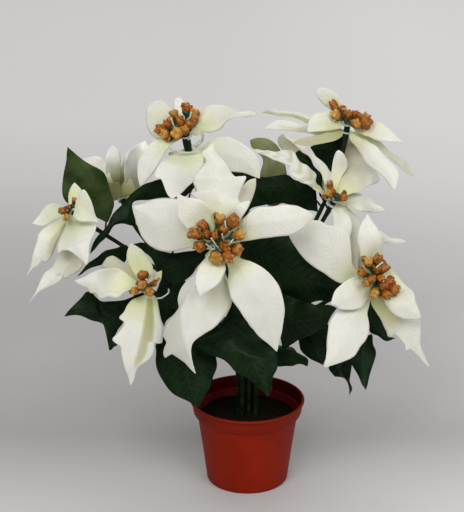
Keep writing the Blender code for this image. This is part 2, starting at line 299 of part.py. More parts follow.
# ------------------------------------------------------------------ outlines without a seen margin
KINDS = {
    "plain": [(0, .10), (.06, .12), (.15, .42), (.30, .86), (.45, 1.0), (.62, .86), (.80, .48), (.92, .17), (1, .0)],
    "lobed": [(0, .10), (.06, .12), (.15, .40), (.30, .80), (.42, .98), (.50, 1.15), (.54, .80), (.68, .66), (.82, .40), (.93, .14), (1, .0)],
    "leaf": [(0, .05), (.20, .06), (.30, .50), (.42, .92), (.52, 1.0), (.68, .82), (.84, .46), (.94, .16), (1, .0)],
}
PX = 0.000977                # metres to one unit of the view at the pot


def head_frame(name):
    h = HEADS[name]
    return at(*h["hub"]), unit(h["face"])


def ring_drop(name):
    """How far the lower bract layer of a head lies under its hub point."""
    return HEADS[name].get("low", LAYER_SHIFT)


def layer_centre(name, layer):
    c, f = head_frame(name)
    return c + f * (LAYER_SHIFT if layer == "upper" else -ring_drop(name))


def tuck(p, head, layer):
    """Slides a point back along its line of sight until it lies under the bud cluster."""
    c, f = head_frame(head)
    sight = unit(p - VIEW_FROM)
    toward = -float(sight @ f)
    if abs(toward) < 0.25:
        return p
    h = float((p - c) @ f)
    r = float(np.linalg.norm(p - c - f * h))
    cap = (0.0040 + 0.38 * r) if layer == "upper" else (0.0002 - ring_drop(head) + 0.34 * r)
    if h <= cap:
        return p
    keep = min(1.0, max(0.0, (0.036 - r) / 0.020))
    keep *= keep * (3 - 2 * keep)
    return p + sight * ((h - cap) / toward) * keep


def seen_blade(b, y0, s, cols):
    """Blade between two seen margins: rows s from base to tip, columns -1..1."""
    left, right = track(b["L"], s), track(b["R"], s)
    rib = track(b["M"], s) if "M" in b else (left + right) / 2
    y0 = b.get("y0", y0)
    depth = y0 + (b["ty"] - y0) * s - b["bow"] * np.sin(pi * s)
    out = np.zeros((len(s), len(cols), 3))
    for j, t in enumerate(cols):
        side, slope = (left, b["kl"]) if t < 0 else (right, b["kr"])
        p = rib + (side - rib) * abs(t)
        half = np.linalg.norm(side - rib, axis=1) * PX
        for i in range(len(s)):
            out[i, j] = at(p[i, 0], p[i, 1], depth[i] + slope * half[i] * abs(t) ** 1.3)
            if "n" in b and "y0" not in b:
                out[i, j] = tuck(out[i, j], b["n"], b["w"])
    return out


def direction(b, head=None):
    """Unit vector of a blade given by bearing and rise, or by turn and lift on its head."""
    if "turn" in b:
        _, f = head_frame(b["n"])
        ex = unit(np.cross([0.0, 0.0, 1.0], f))
        ey = np.cross(f, ex)
        t, e = radians(b["turn"]), radians(b["lift"])
        return (ex * cos(t) + ey * sin(t)) * cos(e) + f * sin(e), f
    az, el = radians(b["az"]), radians(b["el"])
    return np.array([cos(az) * cos(el), sin(az) * cos(el), sin(el)]), np.array([0.0, 0.0, 1.0])


def free_blade(b, c, s, cols):
    """Blade given by its direction, length and width, its upper face turned to the head's face."""
    d, f = direction(b)
    side = unit(np.cross(d, f))
    nrm = unit(np.cross(side, d))
    ks = KINDS[b["kind"]]
    half = np.interp(s, [k[0] for k in ks], [k[1] for k in ks]) * b["wid"] / 2
    out = np.zeros((len(s), len(cols), 3))
    for j, t in enumerate(cols):
        for i in range(len(s)):
            rib = c + d * b["len"] * s[i] + nrm * (0.10 * b["len"] * sin(pi * s[i]))
            out[i, j] = rib + side * half[i] * t - nrm * (0.18 * half[i] * abs(t) ** 1.5)
    return out


SINGLE_LAYER = ("back_left", "back", "back_right")   # heads whose bracts all spring from one ring

# ------------------------------------------------------------------ stems
BUNDLE = {"upper_left": (BUNDLE_INNER, 175), "upper_right": (BUNDLE_INNER, 40), "front": (BUNDLE_INNER, -75),
          "lower_right": (BUNDLE_OUTER, -32), "mid_right": (BUNDLE_OUTER, 4), "back_right": (BUNDLE_OUTER, 44),
          "back": (BUNDLE_OUTER, 88), "back_left": (BUNDLE_OUTER, 136), "mid_left": (BUNDLE_OUTER, 184),
          "lower_left": (BUNDLE_OUTER, 232)}


def stem_path(name, n=12):
    """Centre line of a stem, from its foot in the filler to just above the upper bract layer."""
    c, f = head_frame(name)
    r, a = BUNDLE[name]
    foot = np.array([r * cos(radians(a)), r * sin(radians(a)), 0.0])
    low = foot + [0, 0, SOIL_TOP - STEM_DEPTH]
    mid = foot + [0, 0, BUNDLE_TOP]
    end = c + f * (LAYER_SHIFT + 0.0030)
    neck = c - f * (ring_drop(name) + 0.0060)
    span = np.linalg.norm(neck - mid)
    out_dir = unit([c[0] - mid[0], c[1] - mid[1], 0])
    p0, p3 = mid, neck
    p1 = mid + np.array([0, 0, 1.0]) * span * 0.34 + out_dir * span * 0.03
    p2 = neck - f * span * 0.34
    pts = [low, (low + mid) / 2]
    for t in np.linspace(0, 1, n):
        q = 1 - t
        pts.append(q ** 3 * p0 + 3 * q * q * t * p1 + 3 * q * t * t * p2 + t ** 3 * p3)
    return np.array(pts + [end])


def nearest_on_stem(name, point, lo=0.10, hi=0.93):
    path = track(stem_path(name, 20), np.linspace(0, 1, 120))
    run = np.linspace(0, 1, 120)
    ok = (run > lo) & (run < hi)
    d = np.linalg.norm(path - point, axis=1) + np.where(ok, 0, 9)
    i = int(np.argmin(d))
    return path[i], unit(path[min(i + 1, 119)] - path[max(i - 1, 0)])


# ------------------------------------------------------------------ scene set-up
for ob in list(bpy.data.objects):
    bpy.data.objects.remove(ob, do_unlink=True)


def collection(name):
    coll = bpy.data.collections.get(name) or bpy.data.collections.new(name)
    if coll.name not in bpy.context.scene.collection.children:
        bpy.context.scene.collection.children.link(coll)
    return coll


PLANT = collection("poinsettia")
CUTTERS = collection("cutters")


def material(name, colour, rough, metal=0.0):
    m = bpy.data.materials.new(name)
    m.use_nodes = True
    p = m.node_tree.nodes["Principled BSDF"]
    p.inputs["Base Color"].default_value = (*colour, 1)
    p.inputs["Roughness"].default_value = rough
    p.inputs["Metallic"].default_value = metal
    return m


def add(name, mesh, mat, coll=None):
    ob = bpy.data.objects.new(name, mesh)
    (coll or PLANT).objects.link(ob)
    if mat:
        mesh.materials.append(mat)
    return ob


def turned(name, profile, mat, steps, coll=None):
    """Solid of revolution: profile from the axis, up the inside, over, and down the outside."""
    mesh = bpy.data.meshes.new(name)
    pts = [(r, 0, z) for r, z in profile]
    mesh.from_pydata(pts, [(i, i + 1) for i in range(len(pts) - 1)], [])
    ob = add(name, mesh, mat, coll)
    m = ob.modifiers.new("turn", "SCREW")
    m.steps = m.render_steps = steps
    m.angle = 2 * pi
    m.axis = "Z"
    m.use_merge_vertices = True
    m.merge_threshold = 0.00005
    m.use_smooth_shade = True
    return ob


def tube(name, points, radius, mat, resolution=1):
    cu = bpy.data.curves.new(name, "CURVE")
    cu.dimensions = "3D"
    cu.bevel_depth = radius
    cu.bevel_resolution = resolution
    cu.use_fill_caps = True
    sp = cu.splines.new("POLY")
    sp.points.add(len(points) - 1)
    for p, q in zip(sp.points, points):
        p.co = (*q, 1)
    ob = bpy.data.objects.new(name, cu)
    PLANT.objects.link(ob)
    cu.materials.append(mat)
    return ob


def hide_cutter(ob):
    ob.hide_render = True
    ob.display_type = "WIRE"


def blade_into(bm, points):
    """Adds a grid whose corners are the given rows and columns of points."""
    nu, nv = points.shape[:2]
    before = set(bm.verts)
    res = bmesh.ops.create_grid(bm, x_segments=nv - 1, y_segments=nu - 1, size=1.0)
    verts = [v for v in res["verts"]]
    verts.sort(key=lambda v: (round(v.co.y, 5), round(v.co.x, 5)))
    for k, v in enumerate(verts):
        v.co = Vector(points[k // nv, k % nv])
    return verts


def finish_shell(bm, name, mat, thick):
    bmesh.ops.remove_doubles(bm, verts=bm.verts, dist=0.00002)
    bmesh.ops.recalc_face_normals(bm, faces=bm.faces)
    mesh = bpy.data.meshes.new(name)
    bm.to_mesh(mesh)
    bm.free()
    mesh.shade_smooth()
    ob = add(name, mesh, mat)
    m = ob.modifiers.new("thickness", "SOLIDIFY")
    m.thickness = thick
    m.offset = 0.0
    return ob


# ------------------------------------------------------------------ bract layers
def spread(angles, least):
    """Ring positions near the wanted angles, at least `least` apart."""
    n = len(angles)
    order = sorted(range(n), key=lambda i: angles[i])
    a = [angles[i] for i in order]
    for _ in range(400):
        for i in range(n):
            j = (i + 1) % n
            gap = (a[j] - a[i]) % (2 * pi) if n > 1 else 2 * pi
            if i == n - 1:
                gap = a[0] + 2 * pi - a[-1]
            if gap < least:
                push = (least - gap) / 2 * 0.5
                a[i] -= push
                a[j] += push
    out = [0.0] * n
    for k, i in enumerate(order):
        out[i] = a[k]
    return out, order


def bract_layer(head, layer):
    centre = layer_centre(head, layer)
    _, face = head_frame(head)
    ex = unit(np.cross([0.0, 0.0, 1.0], face))
    ey = np.cross(face, ex)
    rows = [b for b in BRACTS + FAR if b["n"] == head and (layer == "both" or b["w"] == layer)]
    blades, angles = [], []
    for b in rows:
        reach = np.linalg.norm(at(*b["L"][-1], b["ty"]) - centre) if "L" in b else b["len"]
        first = min(0.26, max(0.09, 0.0095 / reach))
        s = np.concatenate([[0.0], np.linspace(first, 1.0, BRACT_ROWS)])
        cols = [-1, 0, 1]
        g = seen_blade(b, centre[1], s, cols) if "L" in b else free_blade(b, centre, s, cols)
        d = g[2, 1] - centre
        angles.append(atan2(float(d @ ey), float(d @ ex)))
        blades.append(g)
    least = min(radians(34), 2 * pi / len(rows) * 0.9)
    ring, order = spread(angles, least)
    half = min(NECK_HALF / RING_RADIUS, least * 0.30)
    bm = bmesh.new()

    def on_ring(a, r):
        return centre + (ex * cos(a) + ey * sin(a)) * r

    rim = []
    for i in order:
        g = blades[i]
        trio = [on_ring(ring[i] + k * half, RING_RADIUS) for k in (-1, 0, 1)]
        if np.linalg.norm(trio[0] - g[1, 0]) > np.linalg.norm(trio[2] - g[1, 0]):
            trio = trio[::-1]
        g[0] = trio
        blade_into(bm, g)
        rim += [ring[i] + k * half for k in (-1, 0, 1)]
    full = []
    for k, a in enumerate(rim):                 # extra rim points where the bracts leave a wide gap
        nxt = rim[(k + 1) % len(rim)] + (2 * pi if k == len(rim) - 1 else 0)
        n = max(1, int(np.ceil((nxt - a) / radians(36))))
        full += [a + (nxt - a) * m / n for m in range(n)]
    rim = full
    inner = [bm.verts.new(Vector(on_ring(a, RING_HOLE))) for a in rim]
    outer = [bm.verts.new(Vector(on_ring(a, RING_RADIUS))) for a in rim]
    for i in range(len(rim)):
        j = (i + 1) % len(rim)
        bm.faces.new((inner[i], outer[i], outer[j], inner[j]))
    name = "bracts_" + head if layer == "both" else "%s_bracts_%s" % (layer, head)
    return finish_shell(bm, name, MATS["bract"], BRACT_THICK)


# ------------------------------------------------------------------ leaves
def leaf(spec):
    s = np.linspace(0.0, 1.0, LEAF_ROWS)
    cols = [-1, 0, 1]
    if "L" in spec:
        g = seen_blade(spec, spec["y0"], s, cols)
        base = g[0, 1]
        start, along = nearest_on_stem(spec["stem"], base)
    else:
        path = track(stem_path(spec["stem"], 20), [spec["root"], spec["root"] + .01])
        start, along = path[0], unit(path[1] - path[0])
        base = start + direction(spec)[0] * 0.018
        g = free_blade(spec, base, s, cols)
    away = base - start
    away = unit(away - along * float(away @ along))
    root = start + away * (STEM_RADIUS + FIT_GAP + 0.0006)
    g0 = g[0]
    side = unit(g0[2] - g0[0])
    gap = np.linalg.norm(base - root)
    stalk = []
    if gap > 0.004:
        n = 3 if gap > 0.02 else 2
        for t in np.linspace(0, 1, n + 1)[:-1]:
            c = root + (base - root) * t + away * 0.10 * gap * sin(pi * t)
            stalk.append([c - side * STALK_HALF, c, c + side * STALK_HALF])
    else:
        stalk.append([root - side * STALK_HALF, root, root + side * STALK_HALF])
        g = g[1:]
    pts = np.concatenate([np.array(stalk), g])
    bm = bmesh.new()
    blade_into(bm, pts)
    return finish_shell(bm, "leaf_" + spec["k"], MATS["leaf"], LEAF_THICK)


# ------------------------------------------------------------------ flower centres
def bud_cluster(head):
    """Cup on the stem's end with stalked buds round it, joined in one solid."""
    c, f = head_frame(head)
    ex = unit(np.cross([0.0, 0.0, 1.0], f))
    ey = np.cross(f, ex)
    small = head in ("mid_left", "lower_left", "mid_right", "back_left")
    spread_r = 0.0095 if small else 0.0155
    count = 5 if small else 7
    base = c + f * (LAYER_SHIFT + 0.0030 + FIT_GAP + 0.0004)

    def cone(p, q, r1, r2, name, seg=6):
        d = Vector(q - p)
        mesh = bpy.data.meshes.new(name)
        bm = bmesh.new()
        bmesh.ops.create_cone(bm, cap_ends=True, segments=seg, radius1=r1, radius2=r2, depth=d.length)
        bmesh.ops.transform(bm, verts=bm.verts, matrix=Matrix.Translation(Vector((p + q) / 2)) @ d.to_track_quat("Z", "Y").to_matrix().to_4x4())
        bm.to_mesh(mesh)
        bm.free()
        return mesh

    cup = add("buds_" + head, cone(base, base + f * 0.0045, 0.0024, 0.0042, "buds_" + head, 10), MATS["bud"])
    for k in range(count):
        a = 2 * pi * k / (count - 1) + 0.4
        r = 0.0 if k == count - 1 else spread_r
        top = base + f * (0.0115 if k < count - 1 else 0.0150) + (ex * cos(a) + ey * sin(a)) * r * 0.82
        lean = unit(top - base)
        stalk = add("stalk", cone(base + f * 0.0015 + lean * 0.001, top, 0.0011, 0.0015, "stalk", 5), None, CUTTERS)
        head_ball = add("ball", cone(top - lean * 0.0012, top + lean * 0.0052, 0.0021, 0.0031, "ball", 6), None, CUTTERS)
        for ob in (stalk, head_ball):
            hide_cutter(ob)
            m = cup.modifiers.new("join", "BOOLEAN")
            m.operation = "UNION"
            m.object = ob
    return cup


# ------------------------------------------------------------------ materials
MATS = {
    "pot": material("terracotta_plastic", (0.205, 0.016, 0.006), 0.45),
    "soil": material("dark_filler", (0.010, 0.007, 0.004), 0.95),
    "stem": material("stem_plastic", (0.020, 0.050, 0.018), 0.5),
    "bract": material("bract_fabric", (0.80, 0.78, 0.70), 0.75),
    "bud": material("bud_plastic", (0.42, 0.13, 0.015), 0.4),
    "leaf": material("leaf_fabric", (0.010, 0.035, 0.014), 0.42),
}

# ------------------------------------------------------------------ pot, filler
wall = POT_WALL
outer_side = [(LIP_RADIUS - 0.0010, POT_HEIGHT), (LIP_RADIUS, POT_HEIGHT - 0.0010), (LIP_RADIUS, POT_HEIGHT - 0.0026),
              (LIP_RADIUS - 0.0012, POT_HEIGHT - 0.0038), (COLLAR_TOP_RADIUS, POT_HEIGHT - 0.0090),
              (COLLAR_LOW_RADIUS, COLLAR_Z), (COLLAR_LOW_RADIUS - 0.0012, COLLAR_Z - 0.0016), (BODY_TOP_RADIUS, STEP_Z),
              (BODY_LOW_RADIUS, 0.0040), (BODY_LOW_RADIUS - 0.0006, 0.0012), (FOOT_RADIUS, 0.0), (0.0, 0.0)]
inner_side = [(0.0, POT_FLOOR), (FOOT_RADIUS - 0.0012, POT_FLOOR), (BODY_LOW_RADIUS - wall, 0.0050),
              (BODY_TOP_RADIUS - wall, STEP_Z + 0.0006), (COLLAR_LOW_RADIUS - wall, COLLAR_Z + 0.0010),
              (COLLAR_TOP_RADIUS - wall, POT_HEIGHT - 0.0090), (LIP_RADIUS - 0.0026, POT_HEIGHT - 0.0034),
              (LIP_RADIUS - 0.0022, POT_HEIGHT - 0.0004)]
pot = turned("pot", inner_side + outer_side, MATS["pot"], POT_STEPS)
for k in range(DRAIN_HOLES):
    a = 2 * pi * (k + 0.5) / DRAIN_HOLES
    bpy.ops.mesh.primitive_cylinder_add(vertices=12, radius=DRAIN_HOLE_RADIUS, depth=0.010,
                                        location=(DRAIN_RING_RADIUS * cos(a), DRAIN_RING_RADIUS * sin(a), 0.0))
    cut = bpy.context.object
    cut.name = "drain_%d" % k
    for coll in list(cut.users_collection):
        coll.objects.unlink(cut)
    CUTTERS.objects.link(cut)
    hide_cutter(cut)
    m = pot.modifiers.new("drain", "BOOLEAN")
    m.operation = "DIFFERENCE"
    m.object = cut


def wall_at(z):
    """Inner radius of the pot at height z."""
    pts = inner_side[1:]
    return float(np.interp(z, [p[1] for p in pts], [p[0] for p in pts]))


soil_side = [(wall_at(z) - FIT_GAP - 0.0002, z) for z in (SOIL_TOP, 0.0500, 0.0300, 0.0060)]
soil_side += [(FOOT_RADIUS - 0.0020, POT_FLOOR + FIT_GAP), (0.0, POT_FLOOR + FIT_GAP)]
soil_top = [(0.0, SOIL_TOP + SOIL_CROWN), (0.018, SOIL_TOP + SOIL_CROWN * 0.85), (0.034, SOIL_TOP + SOIL_CROWN * 0.35)]
soil = turned("soil", soil_top + soil_side, MATS["soil"], 28)

# ------------------------------------------------------------------ plant
for name in HEADS:
    path = stem_path(name)
    tube("stem_" + name, path, STEM_RADIUS, MATS["stem"])
    hole = tube("hole_" + name, [path[0] - [0, 0, FIT_GAP], path[0] + [0, 0, 0.02], path[0] + [0, 0, STEM_DEPTH + 0.02]], STEM_RADIUS + FIT_GAP, MATS["stem"])
    dg = bpy.context.evaluated_depsgraph_get()
    mesh = bpy.data.meshes.new_from_object(hole.evaluated_get(dg))
    bm = bmesh.new()
    bm.from_mesh(mesh)
    bmesh.ops.remove_doubles(bm, verts=bm.verts, dist=0.00002)
    bm.to_mesh(mesh)
    bm.free()
    solid = bpy.data.objects.new("bore_" + name, mesh)
    solid.matrix_world = hole.matrix_world
    CUTTERS.objects.link(solid)
    bpy.data.objects.remove(hole, do_unlink=True)
    hide_cutter(solid)
    m = soil.modifiers.new("bore", "BOOLEAN")
    m.operation = "DIFFERENCE"
    m.object = solid
    bud_cluster(name)
    for layer in (("both",) if name in SINGLE_LAYER else ("upper", "lower")):
        bract_layer(name, layer)
for spec in LEAVES:
    leaf(spec)
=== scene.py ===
import bpy
import bmesh
import json
import numpy as np
from math import radians, sin, cos, pi, atan2
from mathutils import Vector, Matrix, noise
from mathutils.bvhtree import BVHTree

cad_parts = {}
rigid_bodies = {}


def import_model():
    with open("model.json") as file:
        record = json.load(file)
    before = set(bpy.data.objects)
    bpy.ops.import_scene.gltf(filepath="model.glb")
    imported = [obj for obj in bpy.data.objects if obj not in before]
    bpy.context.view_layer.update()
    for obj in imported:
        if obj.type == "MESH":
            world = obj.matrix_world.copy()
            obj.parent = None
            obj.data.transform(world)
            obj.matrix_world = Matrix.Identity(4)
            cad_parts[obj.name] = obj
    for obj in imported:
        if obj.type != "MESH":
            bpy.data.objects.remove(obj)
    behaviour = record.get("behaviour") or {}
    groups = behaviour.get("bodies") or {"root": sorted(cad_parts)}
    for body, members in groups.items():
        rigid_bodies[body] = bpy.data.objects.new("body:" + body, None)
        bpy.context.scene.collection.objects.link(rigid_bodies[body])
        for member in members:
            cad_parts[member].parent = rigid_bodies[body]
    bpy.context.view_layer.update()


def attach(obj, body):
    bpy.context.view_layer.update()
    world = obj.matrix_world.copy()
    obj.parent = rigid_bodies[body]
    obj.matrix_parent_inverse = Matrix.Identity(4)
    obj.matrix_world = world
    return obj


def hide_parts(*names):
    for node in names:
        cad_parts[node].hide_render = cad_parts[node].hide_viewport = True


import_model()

# Potted poinsettia, artificial: fabric bracts and leaves on wired stems in a nursery pot.
# Frame: metres, +Z up, origin at the middle of the pot's underside, front of the plant towards -Y.

# ------------------------------------------------------------------ dimensions shared with the solid model (metres)
POT_HEIGHT = 0.085
LIP_RADIUS = 0.0557
COLLAR_TOP_RADIUS = 0.0534
COLLAR_LOW_RADIUS = 0.0507
COLLAR_Z = 0.0706
STEP_Z = 0.0680
BODY_TOP_RADIUS = 0.0486
BODY_LOW_RADIUS = 0.0401
FOOT_RADIUS = 0.0386
POT_WALL = 0.0013
POT_FLOOR = 0.0020
DRAIN_HOLE_RADIUS = 0.0040
DRAIN_RING_RADIUS = 0.0260
DRAIN_HOLES = 4
SOIL_TOP = 0.0672
SOIL_CROWN = 0.0030
STEM_RADIUS = 0.0020
STEM_DEPTH = 0.0300
BUNDLE_INNER = 0.0034
BUNDLE_OUTER = 0.0090
BUNDLE_TOP = 0.1050
RING_HOLE = 0.0025
RING_RADIUS = 0.0052
LAYER_SHIFT = 0.0038
CLOTH = 0.00036              # thickness of the fabric

# ------------------------------------------------------------------ the reference view
VIEW_PITCH = radians(20.1)
VIEW_FOCAL = 1638.0
VIEW_MID = (232.0, 256.0)
VIEW_FROM = np.array([-0.0151, -1.4553, 0.7646])
RIGHT = np.array([1.0, 0.0, 0.0])
FORWARD = np.array([0.0, cos(VIEW_PITCH), -sin(VIEW_PITCH)])
UPWARD = np.array([0.0, sin(VIEW_PITCH), cos(VIEW_PITCH)])


def at(u, v, y):
    """The point that the reference view shows at (u, v), at depth y."""
    d = FORWARD + RIGHT * ((u - VIEW_MID[0]) / VIEW_FOCAL) - UPWARD * ((v - VIEW_MID[1]) / VIEW_FOCAL)
    return VIEW_FROM + d * ((y - VIEW_FROM[1]) / d[1])


def unit(v):
    v = np.asarray(v, float)
    return v / max(1e-12, float(np.linalg.norm(v)))


def track(points, samples):
    """Smooth curve through 2-D or 3-D points, read at fractions of its length."""
    p = np.asarray(points, float)
    if len(p) == 2:
        return p[0] + (p[1] - p[0]) * np.asarray(samples)[:, None]
    q = np.vstack([2 * p[0] - p[1], p, 2 * p[-1] - p[-2]])
    dense = []
    for i in range(1, len(q) - 2):
        p0, p1, p2, p3 = q[i - 1], q[i], q[i + 1], q[i + 2]
        t0 = 0.0
        t1 = t0 + max(1e-9, np.linalg.norm(p1 - p0)) ** 0.5
        t2 = t1 + max(1e-9, np.linalg.norm(p2 - p1)) ** 0.5
        t3 = t2 + max(1e-9, np.linalg.norm(p3 - p2)) ** 0.5
        for t in np.linspace(t1, t2, 9)[:-1]:
            a1 = (t1 - t) / (t1 - t0) * p0 + (t - t0) / (t1 - t0) * p1
            a2 = (t2 - t) / (t2 - t1) * p1 + (t - t1) / (t2 - t1) * p2
            a3 = (t3 - t) / (t3 - t2) * p2 + (t - t2) / (t3 - t2) * p3
            b1 = (t2 - t) / (t2 - t0) * a1 + (t - t0) / (t2 - t0) * a2
            b2 = (t3 - t) / (t3 - t1) * a2 + (t - t1) / (t3 - t1) * a3
            dense.append((t2 - t) / (t2 - t1) * b1 + (t - t1) / (t2 - t1) * b2)
    dense.append(p[-1])
    dense = np.array(dense)
    run = np.concatenate([[0.0], np.cumsum(np.linalg.norm(np.diff(dense, axis=0), axis=1))])
    run /= run[-1]
    return np.stack([np.interp(samples, run, dense[:, k]) for k in range(dense.shape[1])], axis=1)


# ------------------------------------------------------------------ flower heads
# hub in the view (u, v, y), the way the head faces, and where it differs the drop to the lower ring
HEADS = {
    "front":        dict(hub=(217, 242, -0.085), face=(-0.05, -0.87, 0.49)),
    "upper_left":   dict(hub=(186, 138, 0.010), face=(-0.12, -0.45, 0.88), low=0.0165),
    "upper_right":  dict(hub=(347, 128, 0.020), face=(0.12, -0.10, 0.98)),
    "mid_right":    dict(hub=(334, 201, -0.010), face=(0.30, -0.50, 0.81)),
    "lower_right":  dict(hub=(372, 280, -0.060), face=(0.45, -0.72, 0.52)),
    "mid_left":     dict(hub=(71, 213, -0.010), face=(-0.60, -0.50, 0.62)),
    "lower_left":   dict(hub=(146, 288, -0.060), face=(-0.35, -0.75, 0.56)),
    "back_left":    dict(hub=(122, 197, 0.090), face=(-0.30, 0.75, 0.59)),
    "back":         dict(hub=(243, 238, 0.115), face=(0.05, 0.85, 0.52)),
    "back_right":   dict(hub=(356, 262, 0.085), face=(0.78, 0.46, 0.42)),
}

